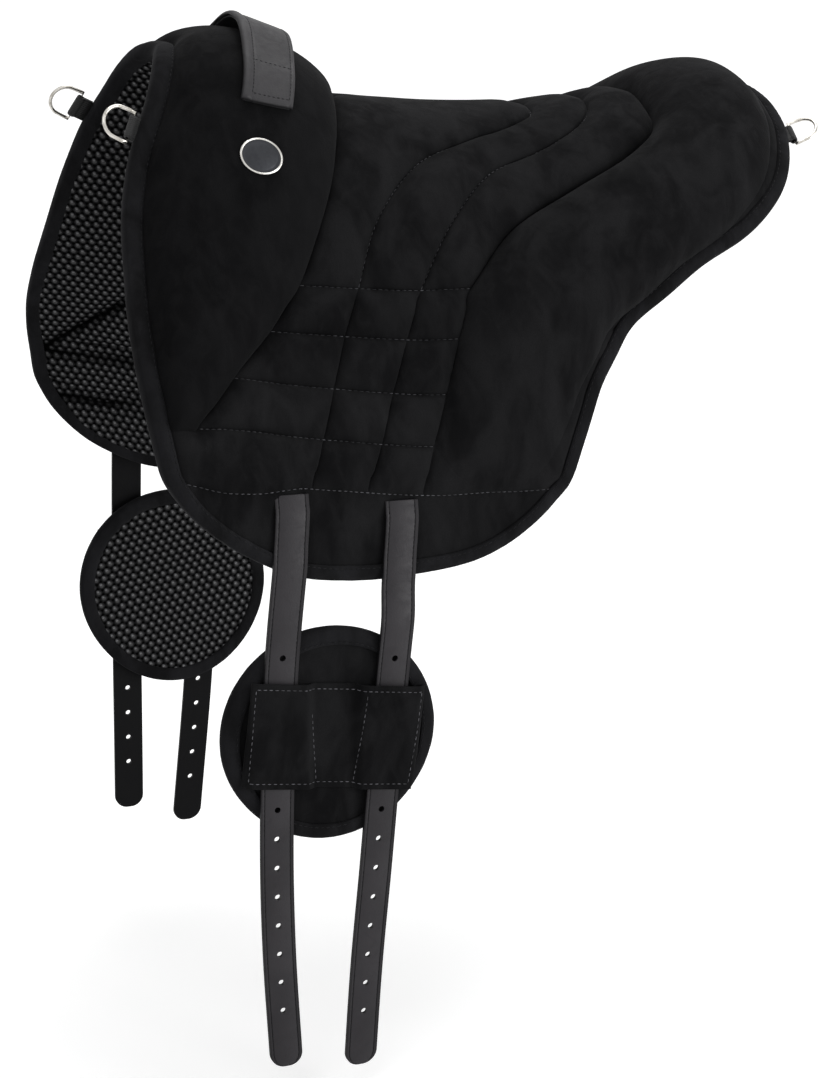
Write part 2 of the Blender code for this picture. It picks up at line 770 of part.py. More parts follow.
def flap_profile(x):
    """The outside of the lower strip and its binding under a strap, as (height, outward) points
    from the slot downwards."""
    hem = (MIDDLE_COLUMN, SPINE_ROW + BOTTOM_HEM)
    bound = cover_top(*hem) + BINDING_GAP + BINDING_THICK + FIT_GAP
    start = slot_depth(x)
    end = bottom_depth(x)
    places = [drape(x, start, slot_height()), drape(x, (start + end) / 2, slot_height())]
    places += [drape(x, end - BINDING_WIDTH * share, bound) for share in (3 / 2, 1.0, 1 / 2, 0.0)]
    return [(place.z, place.y) for place in places]


def strap_profile(x):
    """The strap's inner face from its top edge down to where it hangs, as (height, outward). It
    clears the flap over the strap's whole width."""
    lines = [flap_profile(x + share * STRAP_WIDTH) for share in (-1 / 2, 0.0, 1 / 2)]
    top = min(line[0][0] for line in lines) - STRAP_ROOT_GAP
    bottom = max(line[3][0] for line in lines)
    heights = [top + (bottom - top) * k / STRAP_BENDS for k in range(STRAP_BENDS + 1)]
    outward = []
    for height in heights:
        reach = []
        for line in lines:
            levels, outs = zip(*reversed(line))
            reach.append(float(np.interp(height, levels, outs)))
        outward.append(max(reach))
    outward[-1] = strap_plane()
    return list(zip(heights, outward))


def strap_plane():
    """Distance of the hanging straps' inner faces from the pad's middle plane."""
    reach = []
    for x in strap_places(LEFT) + strap_places(RIGHT):
        for share in (-1 / 2, 0.0, 1 / 2):
            reach += [out for height, out in flap_profile(x + share * STRAP_WIDTH)]
    return max(reach)


def strap_root(x, side):
    """The middle of a strap's inner top edge, next to the end of its webbing."""
    height, out = strap_profile(x)[0]
    return Vector((x, side * out, height))


def cylinder(mesh, radius, length, sides, place, turn=None):
    """A cylinder along Z, or along the axis that the turn gives."""
    made = bmesh.ops.create_cone(
        mesh, cap_ends=True, segments=sides, radius1=radius, radius2=radius, depth=length
    )["verts"]
    if turn:
        bmesh.ops.rotate(mesh, verts=made, matrix=turn)
    bmesh.ops.translate(mesh, verts=made, vec=place)
    return made


def make_strap(name, x, side, length, holes, parts, cutters):
    """A leather strap with a rounded tip and punched holes. It lies over the flap's lower strip,
    bends at the binding and hangs."""
    root = strap_root(x, side)
    profile = [(height - root.z, out - abs(root.y)) for height, out in strap_profile(x)]
    half = STRAP_WIDTH / 2
    outline = [(-half, 0.0), (-half, TIP_LENGTH - length)]
    for k in range(1, TIP_SIDES):
        angle = math.pi * k / TIP_SIDES
        outline.append((-half * math.cos(angle), TIP_LENGTH * (1 - math.sin(angle)) - length))
    outline += [(half, TIP_LENGTH - length), (half, 0.0)]
    mesh = bmesh.new()
    mesh.faces.new([mesh.verts.new((across, 0.0, down)) for across, down in outline])
    for down, out in profile[1:]:
        geometry = list(mesh.verts) + list(mesh.edges) + list(mesh.faces)
        bmesh.ops.bisect_plane(mesh, geom=geometry, plane_co=(0, 0, down), plane_no=(0, 0, 1))
    grown = bmesh.ops.extrude_face_region(mesh, geom=list(mesh.faces))["geom"]
    outer = [part for part in grown if isinstance(part, bmesh.types.BMVert)]
    bmesh.ops.translate(mesh, verts=outer, vec=(0, side * STRAP_THICK, 0))
    levels, outs = zip(*reversed(profile))
    for vertex in mesh.verts:
        vertex.co.y += side * float(np.interp(vertex.co.z, levels, outs))
    strap = finish(name, mesh, "leather", parts)
    punch = bmesh.new()
    first = length - LAST_HOLE_TO_TIP - (holes - 1) * HOLE_PITCH
    for k in range(holes):
        place = (0, side * (outs[0] + STRAP_THICK / 2), -(first + k * HOLE_PITCH))
        turn = Matrix.Rotation(math.pi / 2, 3, "X")
        deep = STRAP_THICK + 2 * CUT_OVERRUN
        cylinder(punch, HOLE_DIAMETER / 2, deep, HOLE_SIDES, place, turn)
    punches = make_cutter(finish(name + "_holes", punch, None, cutters))
    for made in (strap, punches):
        made.location = root
        made.rotation_euler = (0, STRAP_LEAN, 0)
    cut(strap, punches)
    return strap


def make_straps(parts, cutters):
    sizes = {LEFT: (LEFT_STRAP_LENGTH, LEFT_HOLES), RIGHT: (RIGHT_STRAP_LENGTH, RIGHT_HOLES)}
    for side in (LEFT, RIGHT):
        length, holes = sizes[side]
        for end, x in zip(("front", "rear"), strap_places(side)):
            name = f"{SIDE_NAMES[side]}_{end}_girth_strap"
            make_strap(name, x, side, length, holes, parts, cutters)


def disc_foam_top(radius):
    """Outer face of the disc's foam: flat under the straps and thin at the edge."""
    edge = DISC_DIAMETER / 2
    flat = edge - DISC_BINDING_WIDTH - DISC_FLAT_MARGIN
    share = min(max((radius - flat) / (edge - flat), 0.0), 1.0)
    bottom = DISC_LINING_THICK + FIT_GAP
    return bottom + DISC_FOAM_THICK - (DISC_FOAM_THICK - DISC_FOAM_EDGE_THICK) * share


def disc_face_top(radius):
    return disc_foam_top(radius) + FIT_GAP + DISC_FACE_THICK


def disc_back_to_strap():
    """From the disc's inner face to the strap's inner face."""
    return disc_face_top(0.0) + STRAP_CLEARANCE


def turned(name, profile, closed_profile, side, centre, kind, parts):
    """A turned piece about an axis across the pad, from (radius, outward) points that run down its
    outer side."""
    data = bpy.data.meshes.new(name)
    edges = [(k, k + 1) for k in range(len(profile) - 1)]
    if closed_profile:
        edges.append((len(profile) - 1, 0))
    data.from_pydata([(radius, 0.0, out) for radius, out in profile], edges, [])
    made = place(name, data, kind, parts)
    screw = made.modifiers.new("turn", "SCREW")
    screw.steps = DISC_SIDES
    screw.render_steps = DISC_SIDES
    screw.use_merge_vertices = True
    screw.merge_threshold = FIT_GAP / 10
    made.rotation_euler = (-side * math.pi / 2, 0, 0)
    made.location = centre
    return made


def strap_at(x, side, height):
    """Where the middle line of a hanging strap is, along the spine, at a height."""
    root = strap_root(x, side)
    return root.x - (root.z - height) * math.tan(STRAP_LEAN)


def disc_centre(side):
    """The middle of a guard disc's inner face, below the flap and set off a little from the middle
    of its straps."""
    flap_foot = min(drape(*column[BOTTOM_EDGE]).z for column in PATTERN)
    height = flap_foot - DISC_BELOW_FLAP - DISC_DIAMETER / 2
    front, rear = (strap_at(x, side, height) for x in strap_places(side))
    out = strap_plane() - disc_back_to_strap()
    return Vector(((front + rear) / 2 - DISC_AHEADS[side], side * out, height))


def disc_stack(side, parts):
    """Lining, foam, suede face and edge binding of one guard disc."""
    centre = disc_centre(side)
    name = SIDE_NAMES[side]
    edge = DISC_DIAMETER / 2
    flat = edge - DISC_BINDING_WIDTH - DISC_FLAT_MARGIN
    lining = [(0.0, DISC_LINING_THICK), (edge, DISC_LINING_THICK), (edge, 0.0), (0.0, 0.0)]
    turned(name + "_disc_lining", lining, False, side, centre, "mesh", parts)
    low = DISC_LINING_THICK + FIT_GAP
    foam = [(r, disc_foam_top(r)) for r in (0.0, flat, edge)] + [(edge, low), (0.0, low)]
    turned(name + "_disc_foam", foam, False, side, centre, "foam", parts)
    face = [(r, disc_face_top(r)) for r in (0.0, flat, edge)]
    face += [(r, disc_foam_top(r) + FIT_GAP) for r in (edge, flat, 0.0)]
    turned(name + "_disc_face", face, False, side, centre, "suede", parts)
    hem = edge - DISC_BINDING_WIDTH
    near = FIT_GAP
    far = FIT_GAP + BINDING_THICK
    binding = [
        (hem, disc_face_top(hem) + far), (edge + far, disc_face_top(edge) + far),
        (edge + far, -far), (hem, -far), (hem, -near), (edge + near, -near),
        (edge + near, disc_face_top(edge) + near), (hem, disc_face_top(hem) + near),
    ]
    turned(name + "_disc_binding", binding, True, side, centre, "webbing", parts)
    return centre


def make_sleeve(side, centre, parts):
    """The suede band sewn across a disc. It stands off over the two straps and is sewn down at its
    ends and between them. Its channels follow the straps, and its edges tilt a little more."""
    end = DISC_DIAMETER / 2 - DISC_BINDING_WIDTH / 2
    hem = DISC_DIAMETER / 2 - DISC_BINDING_WIDTH
    over_binding = disc_face_top(hem) + FIT_GAP + BINDING_THICK + FIT_GAP
    sewn = max(disc_face_top(0.0) + FIT_GAP, over_binding)
    raised = disc_back_to_strap() + STRAP_THICK + STRAP_CLEARANCE
    half = STRAP_WIDTH / 2 + SLEEVE_SIDE_ROOM
    steps = [(None, sewn)]
    for place in strap_places(side):
        middle = (strap_at(place, side, centre.z) - centre.x) * math.cos(SLEEVE_TILT)
        steps += [
            (middle - half - SLEEVE_RAMP, sewn), (middle - half, raised),
            (middle + half, raised), (middle + half + SLEEVE_RAMP, sewn),
        ]
    steps.append((None, sewn))
    along = Vector((math.cos(SLEEVE_TILT), 0.0, -math.sin(SLEEVE_TILT)))
    upward = Vector((math.sin(SLEEVE_TILT), 0.0, math.cos(SLEEVE_TILT)))
    outward = Vector((0.0, side, 0.0))
    upper = []
    lower = []
    for k, (middle, out) in enumerate(steps):
        line = []
        for share in SLEEVE_ROW_shares:
            height = share * SLEEVE_HEIGHT
            reach = math.sqrt(end**2 - height**2)
            if middle is None:
                at = reach if k else -reach
            else:
                at = middle + height * math.tan(STRAP_LEAN - SLEEVE_TILT)
                at = min(max(at, SLEEVE_END_GAP - reach), reach - SLEEVE_END_GAP)
            line.append(centre + along * at + upward * height + outward * out)
        lower.append(line)
        upper.append([point + outward * SLEEVE_THICK for point in line])
    return layer(SIDE_NAMES[side] + "_disc_sleeve", upper, lower, "suede", parts)


def make_discs(parts):
    for side in (LEFT, RIGHT):
        centre = disc_stack(side, parts)
        make_sleeve(side, centre, parts)


def make_handle(thigh, parts):
    """The grab handle: leather over a backing strap, sewn down at both ends and arched between. It
    crosses the sloping ridge square, so its ends lie ahead of its middle."""
    tree = hit_map(thigh)
    half = HANDLE_LENGTH / 2
    count = 2 * round(half / HANDLE_PITCH)
    stations = [half * (2 * k / count - 1) for k in range(count + 1)]

    def middle(t):
        return HANDLE_PLACE_share * SPINE_LENGTH - HANDLE_SWEEP * (abs(t) / half) ** HANDLE_SWEEP_POWER

    def base(t):
        under = []
        for step in (-HANDLE_PITCH / 2, 0.0, HANDLE_PITCH / 2):
            for k in range(HANDLE_PROBES + 1):
                aside = HANDLE_WIDTH * (k / HANDLE_PROBES - 1 / 2)
                under.append(height_over(tree, middle(t + step) + aside, t + step))
        return max(under) + FIT_GAP

    def bump(t):
        return FINGER_GAP * (1 - eased(abs(t), HANDLE_ARCH_FLAT / 2, HANDLE_ARCH_SPAN / 2))

    floor = [(t, base(t) + bump(t)) for t in stations]
    back = [(middle(t), t, low, low + HANDLE_BACKING_THICK) for t, low in floor[1:-1]]
    inner = HANDLE_BACKING_THICK + FIT_GAP
    face = [(middle(t), t, low + inner, low + inner + HANDLE_THICK) for t, low in floor]
    strip("grab_handle_backing", back, HANDLE_WIDTH - 2 * HANDLE_BACKING_INSET, "leather", parts)
    strip("grab_handle", face, HANDLE_WIDTH, "leather", parts)


def fitting_frame(edge_nodes, hem_nodes, share):
    """A place on the pad's edge between two border nodes, with its outward, along and up axes."""
    def between(nodes, height):
        a, b = (Vector(node(*place)) for place in nodes)
        x, t = a + (b - a) * share
        return drape(x, t, height)

    height = cover_top(*edge_nodes[0]) / 2
    edge = between(edge_nodes, height)
    outward = (edge - between(hem_nodes, height)).normalized()
    along = (drape(*node(*edge_nodes[1])) - drape(*node(*edge_nodes[0]))).normalized()
    outward = (outward - along * outward.dot(along)).normalized()
    return edge, outward, along, outward.cross(along)


def make_ring(name, place_matrix, parts):
    """A D-ring: a straight bar and a half round of the same wire."""
    half = (RING_INNER_WIDTH + RING_WIRE) / 2
    reach = RING_DEPTH + RING_WIRE / 2
    points = [(0.0, 0.0)]
    for k in range(RING_SIDES + 1):
        angle = math.pi * (1 / 2 - k / RING_SIDES)
        points.append((reach * math.cos(angle), half * math.sin(angle)))
    data = bpy.data.curves.new(name, "CURVE")
    data.dimensions = "3D"
    data.bevel_depth = RING_WIRE / 2
    data.bevel_resolution = 2
    data.use_fill_caps = True
    spline = data.splines.new("POLY")
    spline.points.add(len(points) - 1)
    for point, (out, along) in zip(spline.points, points):
        point.co = (out, along, 0.0, 1.0)
    spline.use_cyclic_u = True
    made = place(name, data, "nickel", parts)
    made.matrix_world = place_matrix
    return made


def make_tab(name, place_matrix, parts):
    """A webbing tab folded round the ring's bar, with both tails against the binding."""
    radius = RING_WIRE / 2 + TAB_CLEARANCE
    leaf = TAB_THICK
    fold = FIT_GAP / 2
    lower = [(-TAB_TAIL, fold), (-radius - leaf, fold)]
    upper = [(-TAB_TAIL, fold + leaf), (-radius - leaf, fold + leaf)]
    for k in range(TAB_SIDES + 1):
        angle = math.radians(TAB_OPEN_ANGLE) * (1 - 2 * k / TAB_SIDES)
        ray = Vector((math.cos(angle), math.sin(angle)))
        lower.append(tuple(ray * radius))
        upper.append(tuple(ray * (radius + leaf)))
    lower += [(-radius - leaf, -fold), (-TAB_TAIL, -fold)]
    upper += [(-radius - leaf, -fold - leaf), (-TAB_TAIL, -fold - leaf)]

    def sheet(line):
        return [
            [Vector((out, side * TAB_WIDTH / 2, up)) for out, up in line] for side in (-1, 1)
        ]

    made = layer(name, sheet(upper), sheet(lower), "webbing", parts)
    made.matrix_world = place_matrix
    return made


def make_rings(parts):
    places = {
        "front": (0, FRONT_RING_ROW, FRONT_HEM, FRONT_RING_share, FRONT_RING_TILT),
        "rear": (REAR_EDGE, REAR_RING_ROW, REAR_HEM, REAR_RING_share, REAR_RING_TILT),
    }
    for end, (u, row, hem, share, tilt) in places.items():
        for side in (LEFT, RIGHT):
            rows = [SPINE_ROW + side * row, SPINE_ROW + side * (row + 1)]
            edge_nodes = [(u, v) for v in rows]
            hem_nodes = [(hem, v) for v in rows]
            edge, outward, along, up = fitting_frame(edge_nodes, hem_nodes, share)
            beyond = BINDING_FOLD_GAP + BINDING_THICK + TAB_GAP + TAB_TAIL
            matrix = Matrix((outward, along, up)).transposed().to_4x4()
            matrix.translation = edge + outward * beyond
            name = f"{SIDE_NAMES[side]}_{end}_ring"
            upwards = -tilt if up.z > 0 else tilt
            make_ring(name, matrix @ Matrix.Rotation(upwards, 4, "Y"), parts)
            make_tab(name + "_tab", matrix, parts)


def seat_on(tree, centre, up, along, reaches):
    """How far a flat oval has to be lifted along its axis to clear an object's outer face."""
    across = up.cross(along)
    lifts = []
    for share in (1 / 3, 2 / 3, 1.0):
        for k in range(PLATE_SIDES):
            angle = 2 * math.pi * k / PLATE_SIDES
            aside = along * reaches[0] * math.cos(angle) + across * reaches[1] * math.sin(angle)
            hit = tree.ray_cast(centre + aside * share + up * PROBE_REACH, -up)[0]
            lifts.append((hit - centre).dot(up))
    return max(lifts)


def make_plate(thigh, parts):
    """A plain oval plate with a wire rim on the left thigh block."""
    tree = hit_map(thigh)
    x = PLATE_PLACE_shares[0] * SPINE_LENGTH
    t = -PLATE_PLACE_shares[1] * FLAP_LENGTH
    reaches = (PLATE_LENGTH / 2 + FIT_GAP + RIM_WIRE, PLATE_HEIGHT / 2 + FIT_GAP + RIM_WIRE)

    def on_block(along_by, down_by):
        at = (x + along_by, t + down_by)
        return drape(*at, height_over(tree, *at))

    along = (on_block(reaches[0], 0.0) - on_block(-reaches[0], 0.0)).normalized()
    down = on_block(0.0, reaches[1]) - on_block(0.0, -reaches[1])
    up = along.cross(down).normalized()
    centre = on_block(0.0, 0.0)
    matrix = Matrix((along, up.cross(along), up)).transposed().to_4x4()
    matrix.translation = centre + up * (seat_on(tree, centre, up, along, reaches) + FIT_GAP)
    mesh = bmesh.new()
    made = cylinder(mesh, PLATE_LENGTH / 2, PLATE_THICK, PLATE_SIDES, (0, 0, PLATE_THICK / 2))
    bmesh.ops.scale(mesh, verts=made, vec=(1, PLATE_HEIGHT / PLATE_LENGTH, 1))
    plate = finish("oval_plate", mesh, "gunmetal", parts)
    plate.matrix_world = matrix
    data = bpy.data.curves.new("oval_plate_rim", "CURVE")
    data.dimensions = "3D"
    data.bevel_depth = RIM_WIRE / 2
    data.bevel_resolution = 1
    spline = data.splines.new("POLY")
    spline.points.add(PLATE_SIDES - 1)
    beyond = FIT_GAP + RIM_WIRE / 2
    for k, point in enumerate(spline.points):
        angle = 2 * math.pi * k / PLATE_SIDES
        point.co = (
            (PLATE_LENGTH / 2 + beyond) * math.cos(angle),
            (PLATE_HEIGHT / 2 + beyond) * math.sin(angle), RIM_WIRE / 2, 1.0,
        )
    spline.use_cyclic_u = True
    rim = place("oval_plate_rim", data, "nickel", parts)
    rim.matrix_world = matrix


def main():
    clear_scene()
    parts = make_collection("bareback_pad")
    cutters = make_collection("cutters")
    foam, cover = make_layers(parts)
    make_binding(parts)
    thigh = make_blocks(parts)
    make_webbing(foam, cover, parts, cutters)
    make_straps(parts, cutters)
    make_discs(parts)
    make_handle(thigh, parts)
    make_rings(parts)
    make_plate(thigh, parts)


main()
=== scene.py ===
"""Looks of a treeless bareback pad: quilted microsuede, leather girth straps and guard discs.

Metres, +Z up. -X is the horse's head, -Y its left side, as in the pad's own frame.
"""

import math

import bmesh
import bpy
import numpy as np
from mathutils import Matrix, Vector
from mathutils.bvhtree import BVHTree


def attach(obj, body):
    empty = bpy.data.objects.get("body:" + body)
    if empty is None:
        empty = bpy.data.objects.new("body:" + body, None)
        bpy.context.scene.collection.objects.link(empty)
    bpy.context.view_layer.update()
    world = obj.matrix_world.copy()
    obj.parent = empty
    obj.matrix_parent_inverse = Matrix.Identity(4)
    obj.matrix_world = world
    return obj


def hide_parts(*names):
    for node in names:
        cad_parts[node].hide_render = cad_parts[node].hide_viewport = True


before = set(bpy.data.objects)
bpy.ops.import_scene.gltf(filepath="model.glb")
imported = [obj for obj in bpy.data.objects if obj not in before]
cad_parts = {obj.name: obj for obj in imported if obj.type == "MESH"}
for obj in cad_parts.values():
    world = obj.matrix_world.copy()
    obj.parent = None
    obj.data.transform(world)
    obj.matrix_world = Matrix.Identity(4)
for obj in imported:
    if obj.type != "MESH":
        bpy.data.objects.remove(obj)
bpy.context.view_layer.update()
bpy.ops.object.select_all(action="DESELECT")

MM = 0.001
LEFT, RIGHT = -1, 1
SIDE_NAMES = {LEFT: "left", RIGHT: "right"}

# ---------------------------------------------------------------- the pad's cutting pattern
SPINE = 592 * MM
FLAP = 476 * MM
RISE = 79 * MM
HEM = 12 * MM
ROW_SWEEP, SWEEP_REACH, SWEEP_POWER, LEVEL_FROM = 32 * MM, 215 * MM, 1.5, -0.287
# The front edge has sunk a little at the spine, and the pommel towards its right side
SAG, SAG_FADES, SAG_WIDE = 6.0 * MM, (-0.345, -0.275), 52 * MM
FAR_SAG = 3.5 * MM
RIDGE = np.array((
    (-0.74, 1.40), (-0.66, 1.22), (-0.578, 1.0), (-0.507, 0.77), (-0.422, 0.52), (-0.355, 0.33),
    (-0.301, 0.20), (-0.189, 0.08), (-0.101, 0.025), (0.0, 0.0), (0.17, 0.0), (0.338, 0.09),
    (0.43, 0.15),
))
DRAPE_AT = np.array((0.0, 0.084, 0.168, 0.315, 0.483, 0.651, 0.798, 0.945, 1.134))
DRAPE_STATIONS = (-0.642, -0.169, 0.338)
DRAPE_SLOPES = np.array((
    (0.0, 0.378, 0.722, 0.778, 0.700, 0.622, 0.733, 0.956, 1.0),
    (0.0, 0.222, 0.422, 0.644, 0.778, 0.856, 0.933, 0.989, 1.0),
    (0.0, 0.167, 0.333, 0.533, 0.689, 0.800, 0.889, 0.956, 0.978),
)) * math.pi / 2
ROWS = (0.441, 0.530, 0.628, 0.720, 0.807)
LOWEST = len(ROWS) - 1
UPPER_ROWS = (0.0, 0.1, 0.22, 0.38, 0.58, 0.79, 1.0)
BOTTOM = np.array((
    (-0.672, 0.929), (-0.633, 0.960), (-0.591, 0.981), (-0.532, 0.992), (-0.422, 0.977),
    (-0.3125, 0.947), (-0.186, 0.916), (-0.144, 0.887), (-0.098, 0.845),
))
SEAMS = {
    "front": (((-0.578, 0.0), (-0.591, 0.05), (-0.625, 0.176), (-0.667, 0.303), (-0.688, 0.40)),
              (-0.701, -0.709, -0.712, -0.708, -0.699, -0.672)),
    "thigh": (((-0.311, 0.0), (-0.346, 0.126), (-0.397, 0.311)),
              (-0.453, -0.510, -0.584, -0.652, -0.650, -0.611)),
    "seat": (((0.017, 0.0), (0.007, 0.063), (-0.051, 0.109), (-0.169, 0.164), (-0.253, 0.223),
              (-0.321, 0.324)), (-0.363, -0.395, -0.426, -0.456, -0.485, -0.507)),
    "middle": (((0.122, 0.0), (0.101, 0.076), (0.0, 0.164), (-0.135, 0.235), (-0.203, 0.319)),
               (-0.270, -0.302, -0.336, -0.365, -0.397, -0.419)),
    "cantle": (((0.211, 0.0), (0.177, 0.164), (0.059, 0.244), (-0.084, 0.315), (-0.144, 0.366)),
               (-0.194, -0.223, -0.253, -0.282, -0.307, -0.324)),
    "rear": (((0.422, 0.0), (0.414, 0.130), (0.397, 0.235), (0.355, 0.328), (0.287, 0.395)),
             (0.189, 0.056, -0.003, -0.035, -0.064, -0.098)),
}
# Lines of the pattern by number, front to rear, and rows from the spine down
FRONT_EDGE, FRONT_HEM, THIGH, SEAT, MIDDLE, CANTLE, REAR_HEM, REAR_EDGE = range(8)
FIRST_ROW, FOURTH_ROW, LAST_ROW, BOTTOM_HEM, BOTTOM_EDGE = 6, 12, 14, 15, 16
QUILT_ROWS = (FIRST_ROW, 8, 10, FOURTH_ROW, LAST_ROW)
ROW_STOPS = (0, *QUILT_ROWS, BOTTOM_HEM, BOTTOM_EDGE)


def hermite(knots, values, at, slopes=None):
    """A smooth curve through the knots, for many places at once."""
    knots, values, at = (np.asarray(a, float) for a in (knots, values, at))
    slopes = np.gradient(values, knots, axis=0) if slopes is None else slopes
    i = np.clip(np.searchsorted(knots, at) - 1, 0, len(knots) - 2)
    span = knots[i + 1] - knots[i]
    s = np.clip((at - knots[i]) / span, 0.0, 1.0)
    wider = s.shape + (1,) * (values.ndim - 1)
    s, span = s.reshape(wider), span.reshape(wider)
    lead = slopes[i] * span * (s**3 - 2 * s**2 + s) + slopes[i + 1] * span * (s**3 - s**2)
    return values[i] + (values[i + 1] - values[i]) * (3 * s**2 - 2 * s**3) + lead


def eased(at, start, end):
    share = np.clip((np.asarray(at, float) - start) / (end - start), 0.0, 1.0)
    return share * share * (3 - 2 * share)


def bell(away, width):
    """1 at the middle of a soft bump or groove, and almost 0 two widths away."""
    return np.exp(-(away / width) ** 2)


def unit(vectors):
    return vectors / np.maximum(np.linalg.norm(vectors, axis=-1, keepdims=True), 1e-12)


def run_of(path):
    """How far along a path each of its points lies."""
    return np.concatenate([[0], np.cumsum(np.linalg.norm(np.diff(path, axis=0), axis=1))])


def points_at(at, run, path):
    """Points of a path at the given distances along it."""
    return np.stack([np.interp(at, run, values) for values in path.T], -1)


def closed(path):
    return np.concatenate([path, path[:1]])


def ridge(x):
    return hermite(RIDGE[:, 0], RIDGE[:, 1], x / SPINE) * RISE


def underside(x, t):
    """The pad's underside at x along the spine and t down the flap, negative on the left side."""
    x, t = np.broadcast_arrays(np.asarray(x, float), np.asarray(t, float))
    front, middle, rear = (share * SPINE for share in DRAPE_STATIONS)
    a, b = eased(x, front, middle), eased(x, middle, rear)
    slopes = np.stack([1 - a, a - b, b], -1) @ DRAPE_SLOPES
    places = np.abs(t)[..., None] / FLAP * (np.arange(64) + 0.5) / 64
    k = np.clip(np.searchsorted(DRAPE_AT, places) - 1, 0, len(DRAPE_AT) - 2)
    f = np.clip((places - DRAPE_AT[k]) / (DRAPE_AT[k + 1] - DRAPE_AT[k]), 0.0, 1.0)
    low = np.take_along_axis(slopes, k, -1)
    high = np.take_along_axis(slopes, k + 1, -1)
    angle = low + (high - low) * f
    across = np.cos(angle).mean(-1) * np.abs(t)
    down = np.sin(angle).mean(-1) * np.abs(t)
    sag = SAG * (1 - eased(x, *SAG_FADES)) * bell(t, SAG_WIDE)
    sag = sag + FAR_SAG * (1 - eased(x, -0.30, -0.16)) * eased(t, 0, 65 * MM)
    return np.stack([x, np.copysign(across, t), ridge(x) - down - sag], -1)


def outward(x, t):
    step = 0.5 * MM
    along = underside(x + step, t) - underside(x - step, t)
    across = underside(x, t + step) - underside(x, t - step)
    return unit(np.cross(along, across))


def raised(places, height):
    """The underside at (x, t) places, lifted square to itself."""
    x, t = places[..., 0], places[..., 1]
    return underside(x, t) + outward(x, t) * np.asarray(height)[..., None]


def row_depth(row, x):
    ahead = np.maximum(0.0, LEVEL_FROM * SPINE - x)
    lower = 9 * MM * eased(ahead, 0.12, 0.175) * (1 - eased(ahead, 0.19, 0.24))
    lower = lower * (row == LOWEST)
    return ROWS[row] * FLAP + ROW_SWEEP * (ahead / SWEEP_REACH) ** SWEEP_POWER + lower


def bottom_depth(x):
    return hermite(BOTTOM[:, 0], BOTTOM[:, 1], x / SPINE) * FLAP


def seam_rows(seam):
    """One seam as (x, t) at each row from the spine down to the bottom edge."""
    upper, crossings = seam
    first = crossings[0] * SPINE
    knots = np.array([(x * SPINE, t * FLAP) for x, t in upper] + [(first, row_depth(0, first))])
    lengths = run_of(knots)
    points = [tuple(hermite(lengths, knots, share * lengths[-1])) for share in UPPER_ROWS]
    for row in range(1, len(ROWS)):
        x = crossings[row] * SPINE
        below = (x, float(row_depth(row, x)))
        points += [tuple((np.array(points[-1]) + below) / 2), below]
    bottom = crossings[-1] * SPINE
    hem = (points[-1][0] + bottom) / 2
    points += [(hem, float(bottom_depth(hem)) - HEM), (bottom, float(bottom_depth(bottom)))]
    return np.array(points)


def mixed(a, b, share):
    """The line a share of the way between two lines, kept on the rows."""
    line = a + (b - a) * share
    for number, row in enumerate(QUILT_ROWS):
        line[row, 1] = row_depth(number, line[row, 0])
    line[BOTTOM_HEM, 1] = bottom_depth(line[BOTTOM_HEM, 0]) - HEM
    line[BOTTOM_EDGE, 1] = bottom_depth(line[BOTTOM_EDGE, 0])
    return line


def hemmed(edge, inner):
    gap = np.linalg.norm(inner - edge, axis=1, keepdims=True)
    return edge + (inner - edge) * HEM / np.maximum(gap, HEM)


def pattern_lines():
    front, thigh, seat, middle, cantle, rear = (seam_rows(seam) for seam in SEAMS.values())
    front_hem = hemmed(front, mixed(front, thigh, 1 / 3))
    rear_hem = hemmed(rear, mixed(cantle, rear, 2 / 3))
    return [front, front_hem, thigh, seat, middle, cantle, rear_hem, rear]


LINES = pattern_lines()


def line_at(s):
    k = min(int(s), len(LINES) - 2)
    return LINES[k] if s == k else mixed(LINES[k], LINES[k + 1], s - k)


def pattern_at(s, r):
    """(x, t) over line numbers s by signed rows r, smooth down the rows and across the spine."""
    lines = np.array([line_at(value) for value in s])
    whole = np.concatenate([lines[:, :0:-1] * (1, -1), lines], axis=1).transpose(1, 0, 2)
    knots = np.arange(-BOTTOM_EDGE, BOTTOM_EDGE + 1)
    return far_hang(hermite(knots, whole, r).transpose(1, 0, 2))


def far_hang(places):
    """The right flap hangs with its front edge a little further back and lower than cut."""
    x, t = places[..., 0], places[..., 1]
    front = 1 - eased(x, -0.40, -0.26)
    back = hermite((0.0, 0.03, 0.06, 0.12, 0.15, 0.2, 0.26, 0.36, 0.42, 0.45),
                   (0, 3, 5.5, 5.5, 7, 7, 4.5, 3.5, 7, 1), t)
    drop = 9 * eased(t, 0.36, 0.46) * eased(x, -0.41, -0.35) * (1 - eased(x, -0.30, -0.16))
    right = t > 0
    return np.stack([x + back * MM * front * right, t + drop * MM * right], -1)


def clustered(start, end, count):
    """Places from start up to, not including, end, closer together at both."""
    return start + (end - start) * (1 - np.cos(np.pi * np.arange(count) / count)) / 2


def spread(stops, counts):
    pieces = [clustered(a, b, n) for a, b, n in zip(stops, stops[1:], counts)]
    return np.concatenate(pieces + [[stops[-1]]])


def both_sides(rows):
    return np.concatenate([-rows[:0:-1], rows])


def line_points(s, start, end, count=120):
    """(x, t) of many points on one line of the pattern, between two signed rows."""
    return pattern_at([s], np.linspace(start, end, count))[0]


def row_points(row, s_start, s_end, side, count=120):
    """(x, t) of many points on one row of one side, between two lines."""
    s = np.linspace(s_start, s_end, count)
    return pattern_at(s, np.array([float(side * row)]))[:, 0]


